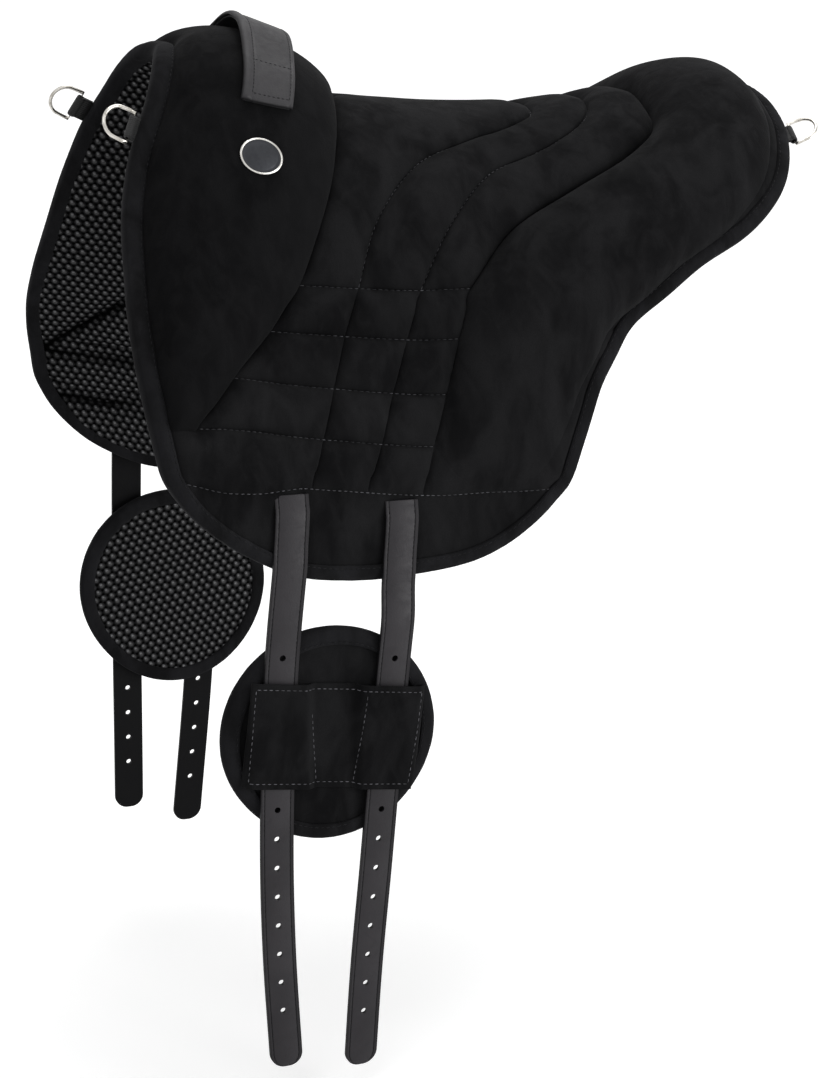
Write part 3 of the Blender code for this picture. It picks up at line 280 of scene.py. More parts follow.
def distance_to(places, path):
    """Distance of (x, t) places to a path of points, along the cloth."""
    flat = places.reshape(-1, 1, 2).astype(np.float32)
    a, b = path[None, :-1].astype(np.float32), path[None, 1:].astype(np.float32)
    run = b - a
    share = np.clip(((flat - a) * run).sum(-1) / np.maximum((run * run).sum(-1), 1e-12), 0, 1)
    gap = np.linalg.norm(flat - a - run * share[..., None], axis=-1)
    return gap.min(1).reshape(places.shape[:-1]).astype(float)


def puff(distance, reach):
    """0 at a seam and 1 past the reach, as a filled panel rises from its stitching."""
    return np.sqrt(np.maximum(0.0, 1 - (1 - np.clip(distance / reach, 0, 1)) ** 2))


def ripple(places, waves):
    """Slow uneven swells of the cloth, from a few crossed waves of (length, angle, phase)."""
    total = 0.0
    for length, angle, phase in waves:
        along = places[..., 0] * math.cos(angle) + places[..., 1] * math.sin(angle)
        total = total + np.sin(2 * np.pi * along / length + phase)
    return total / len(waves)


# ---------------------------------------------------------------- materials
def linear(colour):
    channels = [int(colour[i:i + 2], 16) / 255 for i in (1, 3, 5)]
    return *(c / 12.92 if c <= 0.04045 else ((c + 0.055) / 1.055) ** 2.4 for c in channels), 1


def add(tree, kind, inputs=(), **settings):
    """Adds a shader node. Its inputs map each socket to a value or to the socket it reads."""
    made = tree.nodes.new("ShaderNode" + kind)
    for name, value in settings.items():
        setattr(made, name, value)
    for name, value in dict(inputs).items():
        if isinstance(value, bpy.types.NodeSocket):
            tree.links.new(value, made.inputs[name])
        else:
            made.inputs[name].default_value = value
    return made


def new_material(name, **constants):
    material = bpy.data.materials.new(name)
    material.use_nodes = True
    tree = material.node_tree
    shader = tree.nodes["Principled BSDF"]
    for socket, value in constants.items():
        shader.inputs[socket.replace("_", " ")].default_value = value
    return material, tree, shader


def plug(tree, shader, **sockets):
    for socket, value in sockets.items():
        tree.links.new(value, shader.inputs[socket.replace("_", " ")])


def maths(tree, operation, *values):
    return add(tree, "Math", dict(enumerate(values)), operation=operation).outputs[0]


def vector_maths(tree, operation, *values, **scale):
    made = add(tree, "VectorMath", {**dict(enumerate(values)), **scale}, operation=operation)
    return made.outputs["Value" if operation in ("DOT_PRODUCT", "LENGTH") else "Vector"]


def mix(tree, factor, a, b):
    return add(tree, "Mix", {0: factor, 6: a, 7: b}, data_type="RGBA").outputs[2]


def ramp(tree, value, low, high, to_low=0.0, to_high=1.0):
    made = add(tree, "MapRange", {0: value, 1: low, 2: high, 3: to_low, 4: to_high},
               interpolation_type="SMOOTHSTEP")
    return made.outputs[0]


def noise(tree, place, size, detail=2.0, rough=0.5, warp=0.0):
    """Noise whose patches are about one size across, in metres."""
    made = add(tree, "TexNoise", {"Vector": place, "Scale": 1 / size, "Detail": detail,
                                  "Roughness": rough, "Distortion": warp})
    return made.outputs[0]


def bumped(tree, shader, height, depth, strength=1.0, before=None):
    inputs = {"Height": height, "Distance": depth, "Strength": strength}
    if before is not None:
        inputs["Normal"] = before
    normal = add(tree, "Bump", inputs).outputs[0]
    plug(tree, shader, Normal=normal)
    return normal


def suede_material(name, dark, light, sheen):
    """Black microsuede, brushed: a deep matt nap with soft lighter strokes where it lies the other
    way, and a faint bloom at grazing angles."""
    material, tree, shader = new_material(
        name, Sheen_Weight=sheen, Sheen_Roughness=0.45, Specular_IOR_Level=0.05,
        Sheen_Tint=linear("#9a9a9c"))
    place = add(tree, "TexCoord").outputs["Object"]
    strokes = add(tree, "Mapping", {"Vector": place, "Scale": (1.0, 1.0, 0.45),
                                    "Rotation": (0.5, 0.7, 0.3)}).outputs[0]
    patches = noise(tree, strokes, 42 * MM, 3.0, 0.55, 0.6)
    brushed = noise(tree, strokes, 13 * MM, 3.0, 0.6, 0.8)
    nap = noise(tree, place, 1.1 * MM, 2.0, 0.7)
    cloth = mix(tree, ramp(tree, patches, 0.34, 0.68), linear(dark), linear(light))
    cloth = mix(tree, ramp(tree, brushed, 0.42, 0.8, 0.0, 0.45), cloth, linear(light))
    cloth = mix(tree, ramp(tree, nap, 0.3, 0.7, 0.0, 0.3), cloth, linear(dark))
    plug(tree, shader, Base_Color=cloth, Roughness=ramp(tree, brushed, 0.3, 0.7, 0.98, 0.86))
    soft = bumped(tree, shader, brushed, 0.9 * MM, 0.5)
    bumped(tree, shader, nap, 0.25 * MM, 0.7, soft)
    return material


def knot_mesh_material():
    """Non-slip lining: a knitted spacer mesh dipped in soft polymer, each chunky stitch a satin
    knot with a painted highlight on its upper side, over hollows painted near black for their dark
    gaps and the shade in them. The knots stand about 7.5 mm apart."""
    material, tree, shader = new_material("nonslip_knot_mesh")
    place = add(tree, "UVMap").outputs[0]
    wobble = noise(tree, place, 24 * MM, 2.0)
    both_ways = add(tree, "CombineXYZ", {0: wobble, 1: wobble}).outputs[0]
    shift = vector_maths(tree, "SCALE", both_ways, Scale=2.2 * MM)
    moved = vector_maths(tree, "ADD", place, shift)

    def knots(at):
        """Three crossed waves, highest on the knots, which lie in rows rising to the rear."""
        total = 0.0
        for step in ((102.0, -87.9, 0), (126.6, 63.3, 0), (24.6, 151.2, 0)):
            turns = vector_maths(tree, "DOT_PRODUCT", at, step)
            wave = maths(tree, "COSINE", maths(tree, "MULTIPLY", turns, 2 * math.pi))
            total = maths(tree, "ADD", wave, total)
        return maths(tree, "MULTIPLY_ADD", total, 1 / 4.5, 1 / 3)

    body_high = knots(moved)
    # Painted highlight: the knot pattern shifted by 0.8 and 1.5 mm, so that a painted light spot
    # sits on each knot's upper side
    worn_edge_and_painted_highlight = knots(vector_maths(tree, "ADD", moved, (0.8 * MM, 1.5 * MM, 0)))
    crown = ramp(tree, body_high, 0.0, 0.85)
    fibre = noise(tree, place, 0.9 * MM, 2.0, 0.6)
    # Painted shade: the hollows between the knots are painted near black, for the knit's dark gaps
    # and the shade down in them
    colour = mix(tree, ramp(tree, body_high, 0.02, 0.3), linear("#020202"), linear("#2a2a2b"))
    # The painted highlight: light grey on the upper side of each knot
    colour = mix(tree, ramp(tree, worn_edge_and_painted_highlight, 0.6, 1.0), colour, linear("#707072"))
    colour = mix(tree, ramp(tree, fibre, 0.55, 0.8, 0.0, 0.2), colour, linear("#38383a"))
    # Painted shade along the lining's creases: the fold attribute darkens them to near black and
    # takes away their shine
    fold = add(tree, "Attribute", attribute_name="fold").outputs["Fac"]
    colour = mix(tree, fold, colour, linear("#030303"))
    shine = maths(tree, "MULTIPLY", ramp(tree, crown, 0.4, 1.0, 0.0, 0.35),
                  maths(tree, "SUBTRACT", 1.0, fold))
    plug(tree, shader, Base_Color=colour, Roughness=ramp(tree, crown, 0.3, 1.0, 0.9, 0.42),
         Specular_IOR_Level=shine)
    body = bumped(tree, shader, crown, 3.0 * MM, 1.0)
    bumped(tree, shader, fibre, 0.3 * MM, 0.5, body)
    return material


def leather_material(name, face, shade, rough, grain_depth):
    """Corrected-grain leather with a satin finish: an even dark grey with a fine pebble and faint
    handling marks, black and duller on its raw back, its painted edges and round its holes."""
    material, tree, shader = new_material(name)
    place = add(tree, "TexCoord").outputs["Object"]
    cells = add(tree, "TexVoronoi", {"Vector": place, "Scale": 1 / (1.3 * MM)},
                feature="SMOOTH_F1").outputs["Distance"]
    tone = noise(tree, place, 60 * MM, 3.0)
    marks = noise(tree, place, 9 * MM, 4.0, 0.6, 1.2)
    colour = mix(tree, ramp(tree, tone, 0.35, 0.65), linear(shade), linear(face))
    colour = mix(tree, ramp(tree, marks, 0.55, 0.8, 0.0, 0.35), colour, linear(shade))
    worn_edge_and_painted_highlight = add(tree, "Attribute", attribute_name="edge").outputs["Fac"]
    colour = mix(tree, worn_edge_and_painted_highlight, colour, linear("#111112"))
    plug(tree, shader, Base_Color=colour,
         Specular_IOR_Level=ramp(tree, worn_edge_and_painted_highlight, 0.0, 1.0, 0.22, 0.05),
         Roughness=ramp(tree, marks, 0.3, 0.75, rough, rough + 0.16))
    bumped(tree, shader, cells, grain_depth, 0.6)
    return material


def webbing_material():
    """Black polypropylene webbing, woven in a close 1.6 mm rib with a low plastic sheen."""
    material, tree, shader = new_material("polypropylene_webbing", Specular_IOR_Level=0.35,
                                          Roughness=0.62)
    place = add(tree, "UVMap").outputs[0]
    scaled = vector_maths(tree, "SCALE", place, Scale=1 / (1.6 * MM))
    weave = add(tree, "TexWave", {"Vector": scaled, "Scale": 0.5, "Distortion": 0.6,
                                  "Detail": 1.0}, bands_direction="Y").outputs["Fac"]
    cross = add(tree, "TexWave", {"Vector": scaled, "Scale": 0.28, "Distortion": 0.4},
                bands_direction="X").outputs["Fac"]
    height = maths(tree, "ADD", weave, cross)
    colour = mix(tree, ramp(tree, height, 0.2, 1.8), linear("#0a0a0a"), linear("#232324"))
    plug(tree, shader, Base_Color=colour)
    bumped(tree, shader, height, 0.35 * MM, 0.9)
    return material


def thread_material(name, dark, light, shine):
    """Bonded nylon sewing thread, with the slight shine of its twist."""
    material, tree, shader = new_material(name, Roughness=0.55, Specular_IOR_Level=shine)
    place = add(tree, "TexCoord").outputs["Object"]
    twist = ramp(tree, noise(tree, place, 7 * MM, 2.0), 0.35, 0.65)
    plug(tree, shader, Base_Color=mix(tree, twist, linear(dark), linear(light)))
    return material


def metal_material(name, colour, shade, rough, scratch):
    """Plated steel: bright where it is polished, with fine rubbed hairlines and a slightly duller
    cloud where hands and webbing touch it."""
    material, tree, shader = new_material(name, Metallic=1.0)
    place = add(tree, "TexCoord").outputs["Object"]
    cloud = noise(tree, place, 5 * MM, 3.0)
    lines = noise(tree, add(tree, "Mapping", {"Vector": place, "Scale": (1, 1, 0.08)}).outputs[0],
                  0.5 * MM, 2.0)
    plated = mix(tree, ramp(tree, cloud, 0.35, 0.75), linear(colour), linear(shade))
    plug(tree, shader, Base_Color=plated,
         Roughness=ramp(tree, cloud, 0.3, 0.7, rough, rough + 0.12))
    bumped(tree, shader, lines, scratch, 0.4)
    return material


SUEDE = suede_material("brushed_microsuede", "#0c0c0d", "#1a1a1b", 0.035)
# Painted shade: a darker copy of the suede for the thigh block, whose sides are turned away from
# the light
SHADED_BLOCK_SUEDE = suede_material("brushed_microsuede_painted_shade", "#09090a", "#121213", 0.03)
BINDING = suede_material("microsuede_binding_tape", "#101011", "#1e1e20", 0.05)
KNOTS = knot_mesh_material()
STRAP = leather_material("satin_strap_leather", "#282629", "#201e21", 0.46, 0.12 * MM)
HANDLE = leather_material("padded_handle_leather", "#2d2c2e", "#252426", 0.5, 0.16 * MM)
WEBBING = webbing_material()
THREAD = thread_material("grey_nylon_thread", "#303033", "#545458", 0.25)
DARK_THREAD = thread_material("black_nylon_thread", "#0b0b0c", "#1b1b1d", 0.08)
NICKEL = metal_material("nickel_plated_steel", "#c9c6c0", "#a09c94", 0.16, 0.02 * MM)
GUNMETAL = metal_material("gunmetal_plated_zinc", "#3a3b3e", "#333437", 0.36, 0.03 * MM)
BRIGHT = metal_material("bright_nickel_rim", "#d2d0cc", "#b3b0aa", 0.2, 0.02 * MM)


# ---------------------------------------------------------------- mesh helpers
def new_piece(name, points, faces, material, body, uv=None, smooth=True):
    data = bpy.data.meshes.new(name)
    data.from_pydata(np.asarray(points).reshape(-1, 3).tolist(), [], faces)
    if uv is not None:
        corners = np.empty(len(data.loops), np.int32)
        data.loops.foreach_get("vertex_index", corners)
        layer = data.uv_layers.new(name="UVMap")
        layer.data.foreach_set("uv", np.asarray(uv, np.float32).reshape(-1, 2)[corners].ravel())
    made = bpy.data.objects.new(name, data)
    bpy.context.scene.collection.objects.link(made)
    if smooth:
        data.shade_smooth()
    return dressed(made, material, body)


def dressed(made, material, body):
    made.data.materials.clear()
    made.data.materials.append(material)
    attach(made, body)
    return made


def face_out(made, agree=False):
    """Turns a closed shell's faces outwards. They are first made to agree, unless they do."""
    mesh = bmesh.new()
    mesh.from_mesh(made.data)
    if not agree:
        bmesh.ops.recalc_face_normals(mesh, faces=mesh.faces)
    if mesh.calc_volume(signed=True) < 0:
        bmesh.ops.reverse_faces(mesh, faces=mesh.faces)
    mesh.to_mesh(made.data)
    mesh.free()
    return made


def grid_faces(rows, columns, ring=False, loop=False, first=0):
    """Quads over rows by columns of points. A ring closes each row, and a loop closes the rows."""
    i = np.arange(rows if loop else rows - 1)
    j = np.arange(columns if ring else columns - 1)
    i, j = np.meshgrid(i, j, indexing="ij")
    a = i * columns + j
    b = i * columns + (j + 1) % columns
    c = ((i + 1) % rows) * columns + (j + 1) % columns
    d = ((i + 1) % rows) * columns + j
    return (np.stack([a, b, c, d], -1).reshape(-1, 4) + first).tolist()


def layered(name, top, bottom, uv, material, body):
    """A closed body between two grids of as many points, joined round their borders."""
    rows, columns = top.shape[:2]
    count = rows * columns
    faces = grid_faces(rows, columns) + [f[::-1] for f in grid_faces(rows, columns, first=count)]
    index = np.arange(count).reshape(rows, columns)
    around = np.concatenate([index[0, :-1], index[:-1, -1], index[-1, :0:-1], index[:0:-1, 0]])
    faces += [[int(a), int(a) + count, int(b) + count, int(b)]
              for a, b in zip(around, np.roll(around, -1))]
    made = new_piece(name, np.concatenate([top.reshape(-1, 3), bottom.reshape(-1, 3)]), faces,
                     material, body, np.concatenate([uv.reshape(-1, 2)] * 2))
    return face_out(made)


def tube(name, rings, material, body, loop=False, uv=None):
    """A closed skin through rings of points, with flat ends unless its rings make a loop."""
    rings = np.asarray(rings)
    rows, columns = rings.shape[:2]
    faces = grid_faces(rows, columns, ring=True, loop=loop)
    if not loop:
        faces += [list(range(columns)), list(range((rows - 1) * columns, rows * columns))]
    return face_out(new_piece(name, rings, faces, material, body, uv))


STITCH_LENGTH, STITCH_GAP, STITCH_WIDE = 3.6 * MM, 1.7 * MM, 0.42 * MM


def stitch_shape():
    """One stitch: a short thread sunk at both ends, modelled once and copied along each seam."""
    bpy.ops.mesh.primitive_uv_sphere_add(segments=6, ring_count=4, radius=0.5)
    made = bpy.context.object
    points = np.array([vertex.co for vertex in made.data.vertices])[:, [2, 1, 0]]
    faces = [list(polygon.vertices) for polygon in made.data.polygons]
    bpy.data.objects.remove(made, do_unlink=True)
    return points, faces


STITCH_POINTS, STITCH_FACES = stitch_shape()


def stitched(name, seams, body, thread, wide=STITCH_WIDE, length=STITCH_LENGTH, gap=STITCH_GAP):
    """Rows of stitches. Each seam is (points, outward normals) of a path on the cloth."""
    points, faces = [], []
    for path, normals in seams:
        run = run_of(path)
        if run[-1] < length:
            continue
        count = max(1, int(run[-1] // (length + gap)))
        middles = (np.arange(count) + 0.5) * run[-1] / count
        at, behind, ahead = (points_at(middles + shift * length, run, path)
                             for shift in (0, -0.5, 0.5))
        along = unit(ahead - behind)
        up = points_at(middles, run, normals)
        up = unit(up - along * (up * along).sum(1, keepdims=True))
        aside = np.cross(along, up)
        for k in range(count):
            first = len(points) * len(STITCH_POINTS)
            shape = STITCH_POINTS * (length, wide * 2.0, wide * 1.6)
            points.append(at[k] + shape @ np.stack([along[k], aside[k], up[k]]))
            faces += [[first + v for v in face] for face in STITCH_FACES]
    return new_piece(name, np.concatenate(points), faces, thread, body)


# ---------------------------------------------------------------- quilted cover
LINING_TOP = 2.3 * MM
SEAM_HEIGHT, CROWN_HEIGHT = 11.3 * MM, 19.0 * MM
STRIP_HEIGHT, HEM_HEIGHT, EDGE_HEIGHT = 11.3 * MM, 11.1 * MM, 8.1 * MM
SWELLS = ((0.21, 0.4, 0.3), (0.13, 1.9, 2.1), (0.083, 2.8, 4.0), (0.061, 1.1, 5.2))
PUCKERS = ((0.011, 0.3, 0.0), (0.0083, 1.7, 1.0), (0.0142, 2.5, 2.4))


def quilt_seams():
    """Paths of the sewn channels as (path, reach of the puff beside it)."""
    paths = []
    for side in (LEFT, RIGHT):
        rows = [(s, 0.0, side * float(LAST_ROW)) for s in (SEAT, MIDDLE, CANTLE)]
        rows.append((THIGH, 0.0, side * float(FOURTH_ROW)))
        paths += [line_points(*row) for row in rows]
        paths += [row_points(row, THIGH, CANTLE, side) for row in QUILT_ROWS[:-1]]
        paths.append(row_points(LAST_ROW, FRONT_HEM, REAR_HEM, side))
    return paths


def border_path():
    """The path round the whole edge of the pattern."""
    parts = (line_points(FRONT_EDGE, -BOTTOM_EDGE, BOTTOM_EDGE, 361),
             row_points(BOTTOM_EDGE, FRONT_EDGE, REAR_EDGE, RIGHT, 181),
             line_points(REAR_EDGE, BOTTOM_EDGE, -BOTTOM_EDGE, 361),
             row_points(BOTTOM_EDGE, REAR_EDGE, FRONT_EDGE, LEFT, 181))
    return np.concatenate([part[:-1] for part in parts])


def pattern_grid(line_counts, row_counts):
    """The rows of a whole sheet and its (x, t) places, closer together beside each seam."""
    r = both_sides(spread(ROW_STOPS, row_counts))
    return r, pattern_at(spread(range(len(LINES)), line_counts), r)


def cover_height(places, below_quilts):
    """Height of the quilted cover's outer face above the underside. Its lower strip is flat."""
    full = nearest = np.ones(places.shape[:-1])
    for path in quilt_seams():
        gap = distance_to(places, path)
        nearest = np.minimum(nearest, gap)
        full = full * (0.35 * puff(gap, 9 * MM) + 0.65 * puff(gap, 26 * MM))
    inside = distance_to(places, closed(border_path()))
    swell = ripple(places, SWELLS) * 0.7 * MM
    pucker = ripple(places, PUCKERS) * 0.6 * MM * np.exp(-nearest / (8 * MM))
    x, t = places[..., 0], places[..., 1]
    fuller = 7 * MM * eased(x, 20 * MM, 100 * MM) * bell(t, 80 * MM)
    crown = np.where(below_quilts, STRIP_HEIGHT, CROWN_HEIGHT + fuller)
    height = SEAM_HEIGHT + (crown - SEAM_HEIGHT + swell * ~below_quilts) * full + pucker
    toward_hem = puff(inside - HEM, 16 * MM)
    height = HEM_HEIGHT + (height - HEM_HEIGHT) * toward_hem
    rounding = puff(inside, HEM)
    return np.where(inside < HEM, EDGE_HEIGHT + (HEM_HEIGHT - EDGE_HEIGHT) * rounding, height)


def make_cover():
    r, places = pattern_grid((4, 20, 18, 15, 15, 20, 4), (58, 15, 15, 15, 15, 12, 4))
    height = cover_height(places, np.broadcast_to(np.abs(r) > LAST_ROW, places.shape[:-1]))
    cover = layered("quilted_cover", raised(places, height), raised(places, LINING_TOP), places,
                    SUEDE, "pad")
    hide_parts("seat_cover", "foam_core")
    return cover


def tree_of(made):
    return BVHTree.FromPolygons([v.co for v in made.data.vertices],
                                [p.vertices for p in made.data.polygons])


def on_surface(tree, places, lift=0.0, reach=0.12):
    """Points where lines square to the underside leave a piece, lifted, with their normals."""
    x, t = places[..., 0], places[..., 1]
    base, normals = underside(x, t), outward(x, t)
    points = []
    for foot, normal in zip(base.reshape(-1, 3), normals.reshape(-1, 3)):
        hit = tree.ray_cast(Vector(foot + normal * reach), Vector(-normal))[0]
        points.append(np.array(hit) + normal * lift if hit else foot + normal * SEAM_HEIGHT)
    return np.array(points), normals.reshape(-1, 3)


def make_quilting(cover):
    tree = tree_of(cover)
    paths = []
    for side in (LEFT, RIGHT):
        paths += [line_points(s, side * start, side * float(FIRST_ROW))
                  for s, start in ((SEAT, 0.35), (MIDDLE, 0.3))]
        paths += [row_points(row, THIGH + 0.03, CANTLE, side) for row in QUILT_ROWS[:-1]]
        paths.append(row_points(LAST_ROW, FRONT_HEM, REAR_HEM, side))
    seams = [on_surface(tree, path, 0.3 * MM) for path in paths]
    stitched("quilting_stitches", seams, "pad", THREAD)


# ---------------------------------------------------------------- blocks
def make_block(name, cloth, lines, last_row, heights, low_row, boxes, tilt, overhang, nodes):
    """A foam block under suede on the cover. Its section is a boxy dome over the strip between two
    lines of the pattern, and it gets lower and closes towards both ends. Heights are those of its
    foot, its crown and its crown near the ends. Boxes gives how square its front and its rear are,
    at the spine and on the flaps. Its rear stands higher by the tilt, and hangs over its seam by
    the overhang."""
    foot, crown, end_crown = heights
    r = both_sides(spread((0, low_row, last_row), (46, 34)))
    turn = np.linspace(0, np.pi, 49)
    a, b = pattern_at(lines, r)
    low = eased(np.abs(r), low_row, last_row)
    high = crown + (end_crown - crown) * low
    tail = (last_row - np.abs(r)) / (last_row - low_row)
    shut = puff(tail, 0.22)
    flap = eased(np.abs(r), 1.0, 4.0)[:, None]
    front, rear = (at_spine + (on_flap - at_spine) * flap for at_spine, on_flap in boxes)
    square = np.where(turn < np.pi / 2, front, rear)
    across = -np.sign(np.cos(turn)) * np.abs(np.cos(turn)) ** (2 / square)
    up = np.abs(np.sin(turn)) ** (2 / 2.15) * np.ones_like(across)
    share = (1 + across) / 2
    width = np.linalg.norm(b - a, axis=1)
    places = a[:, None] + (b - a)[:, None] * share[..., None]
    bulge = overhang * np.sin(np.pi * up) * (across > 0) * shut[:, None] * flap
    up = up * (1 + tilt * (share - 0.5))
    places = places + (b - a)[:, None] * (bulge / width[:, None])[..., None]
    soft = ripple(places, SWELLS) * 0.6 * MM * up
    height = foot + (high - foot)[:, None] * up * shut[:, None] + soft * shut[:, None]
    made = tube(name, raised(places, height), cloth, "pad", uv=places)
    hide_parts(*nodes)
    return made


def make_blocks():
    """Makes both blocks and returns the thigh block, which carries the handle and the plate."""
    # The thigh block wears the darker copy of the suede, which is painted shade
    thigh = make_block(
        "thigh_block", SHADED_BLOCK_SUEDE, (FRONT_HEM, THIGH), FOURTH_ROW + 0.2,
        (9 * MM, 43.5 * MM, 27 * MM), 8, ((2.3, 2.6), (1.9, 3.4)), 0.0, 3.5 * MM,
        ("thigh_block_cover", "left_thigh_foam", "right_thigh_foam"))
    make_block(
        "cantle_block", SUEDE, (CANTLE, REAR_HEM - 0.05), LAST_ROW, (9 * MM, 43 * MM, 23 * MM), 6,
        ((2.0, 2.0), (2.35, 2.1)), 0.16, 0.0, ("cantle_block_cover", "cantle_foam"))
    return thigh


# ---------------------------------------------------------------- lining and binding
# Where the lining folds under the right flap's front, as shares of the spine and the flap
LINING_CREASES = (
    ((-0.70, 0.84), (-0.682, 0.819), (-0.649, 0.777), (-0.605, 0.718), (-0.557, 0.655),
     (-0.48, 0.56)),
    ((-0.682, 0.819), (-0.618, 0.811), (-0.527, 0.786), (-0.44, 0.76)),
    ((-0.665, 0.915), (-0.632, 0.912), (-0.568, 0.903), (-0.5, 0.882), (-0.42, 0.86)),
)


def make_lining():
    """The mesh under the foam, drawn up at the quilting seams, the edge and along its creases."""
    _, places = pattern_grid((3, 16, 14, 12, 12, 16, 3), (40, 12, 12, 12, 12, 10, 3))
    full = puff(distance_to(places, closed(border_path())), 20 * MM)
    for path in quilt_seams():
        full *= puff(distance_to(places, path), 15 * MM)
    fold = np.zeros(full.shape)
    for crease in LINING_CREASES:
        path = hermite(np.arange(len(crease)), crease, np.linspace(0, len(crease) - 1, 60))
        gap = distance_to(places, path * (SPINE, FLAP))
        full *= puff(gap, 26 * MM)
        # Painted shade: how dark each crease is painted, strongest along its middle, kept as the
        # fold attribute
        fold = np.maximum(fold, bell(gap, 4.5 * MM))
    made = layered("nonslip_lining", raised(places, LINING_TOP - 0.1 * MM),
                   raised(places, (1.9 - 4.9 * full) * MM), places, KNOTS, "pad")
    keep_shade(made, "fold", np.tile(fold.ravel(), 2))
    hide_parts("lining")
    return made


def evened(path, step):
    """A closed path with its points a step apart."""
    run = run_of(closed(path))
    count = int(round(run[-1] / step))
    return points_at(np.arange(count) * run[-1] / count, run, closed(path))


def softened(path, times):
    for _ in range(times):
        path = (np.roll(path, 1, axis=0) + path * 2 + np.roll(path, -1, axis=0)) / 4
    return path


def make_binding():
    """The folded tape over the whole edge: an outer leaf, a round fold and an inner leaf."""
    step = 2.5 * MM
    edge = softened(evened(border_path(), step), 30)
    along = unit(np.roll(edge, -1, axis=0) - np.roll(edge, 1, axis=0))
    out = np.stack([along[:, 1], -along[:, 0]], -1)
    if (out * (edge - edge.mean(0))).sum() < 0:
        out = -out
    wave = ripple(np.stack([edge[:, 0] + edge[:, 1], edge[:, 1]], -1), PUCKERS) * 0.25 * MM
    # How far beyond the edge, and how high, round the folded tape
    section = [(-HEM, HEM_HEIGHT + 0.3 * MM), (-HEM, HEM_HEIGHT + 1.7 * MM),
               (-HEM + 1.2 * MM, HEM_HEIGHT + 2.5 * MM), (-7 * MM, HEM_HEIGHT + 2.6 * MM),
               (-3 * MM, HEM_HEIGHT + 1.9 * MM)]
    for k in range(9):
        angle = math.pi / 2 - math.pi * k / 8
        section.append((2.0 * MM * math.cos(angle) + 0.2 * MM,
                        EDGE_HEIGHT / 2 + (EDGE_HEIGHT / 2 + 2.3 * MM) * math.sin(angle)))
    section += [(-4 * MM, -2.3 * MM), (-8 * MM, -2.4 * MM), (-HEM + 1 * MM, -2.2 * MM),
                (-HEM, -1.2 * MM), (-HEM, 1.0 * MM), (-4 * MM, 1.5 * MM), (-4 * MM, 6 * MM)]
    rings = np.stack([raised(edge + out * beyond, height + wave) for beyond, height in section], 1)
    uv = np.stack(np.meshgrid(np.arange(len(edge)) * step, np.arange(len(section)) * 1.3 * MM,
                              indexing="ij"), -1)
    made = tube("edge_binding_tape", rings, BINDING, "pad", loop=True, uv=uv)
    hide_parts("edge_binding")
    seam = on_surface(tree_of(made), edge - out * (HEM - 2.2 * MM), 0.1 * MM)
    stitched("binding_stitches", [seam], "pad", DARK_THREAD)


# ---------------------------------------------------------------- girth straps
STRAP_WIDE, STRAP_THICK, TIP = 30 * MM, 3.5 * MM, 13 * MM
GROOVE_INSET, GROOVE_WIDE = 3.2 * MM, 0.9 * MM
HOLE_WIDE = 5.5 * MM
# How far the straps lean, and how far out from the pad's middle their inner faces hang
LEAN = math.radians(3.0)
HANG_OUT = 226.95 * MM
# Each strap's top, length, number of holes, last hole above the tip and hole spacing
STRAPS = {
    (LEFT, "front"): ((-0.30666, -0.26737), 523.5 * MM, 13, 55.5 * MM, 27.5 * MM),
    (LEFT, "rear"): ((-0.21166, -0.28619), 521.5 * MM, 13, 53.5 * MM, 27.8 * MM),
    (RIGHT, "front"): ((-0.30666, -0.26737), 461.5 * MM, 11, 51.5 * MM, 27.5 * MM),
    (RIGHT, "rear"): ((-0.22466, -0.28385), 472 * MM, 11, 49 * MM, 27.5 * MM),
}
# How each strap bends: (distance below its top, millimetres to the rear of a straight line)
BENDS = {
    (LEFT, "front"): ((0, 1), (0.16, -8), (0.256, -8), (0.323, -6), (0.414, -0.5), (0.525, 10)),
    (LEFT, "rear"): ((0, 9), (0.154, -1), (0.253, -5), (0.323, -8), (0.414, -12.5), (0.525, -14.5)),
    (RIGHT, "front"): ((0, -3), (0.1, -2.5), (0.29, 1), (0.48, 6)),
    (RIGHT, "rear"): ((0, 0), (0.15, -1), (0.303, -3.5), (0.48, -14)),
}


def edit(select=None):
    """Goes into edit mode with only the chosen vertices selected, or all of them."""
    made = bpy.context.object
    bpy.ops.object.mode_set(mode="OBJECT")
    for part in (made.data.polygons, made.data.edges, made.data.vertices):
        part.foreach_set("select", np.zeros(len(part), bool))
    for vertex in made.data.vertices:
        vertex.select = select is None or bool(select(vertex.co))
    bpy.ops.object.mode_set(mode="EDIT")
    bpy.ops.mesh.select_mode(type="VERT")
    if select is None:
        bpy.ops.mesh.select_all(action="SELECT")


def done():
    bpy.ops.object.mode_set(mode="OBJECT")
    return bpy.context.object


def apply_modifier(made, kind, **settings):
    modifier = made.modifiers.new(kind.lower(), kind)
    for name, value in settings.items():
        setattr(modifier, name, value)
    bpy.context.view_layer.objects.active = made
    bpy.ops.object.modifier_apply(modifier=modifier.name)


def pick(*objects):
    """Selects only these objects, with the first one active."""
    bpy.ops.object.select_all(action="DESELECT")
    for made in objects:
        made.select_set(True)
    bpy.context.view_layer.objects.active = objects[0]


def settle(made):
    """Puts the object's place into its mesh."""
    pick(made)
    bpy.ops.object.transform_apply(location=True, rotation=True, scale=True)
    return made


def tip_share(z, length):
    """How much of its full width a strap has at z. Its end has round corners."""
    into = np.clip((-z - (length - TIP)) / TIP, 0, 1)
    return 1 - 2 * TIP / STRAP_WIDE * (1 - np.sqrt(1 - into ** 2))


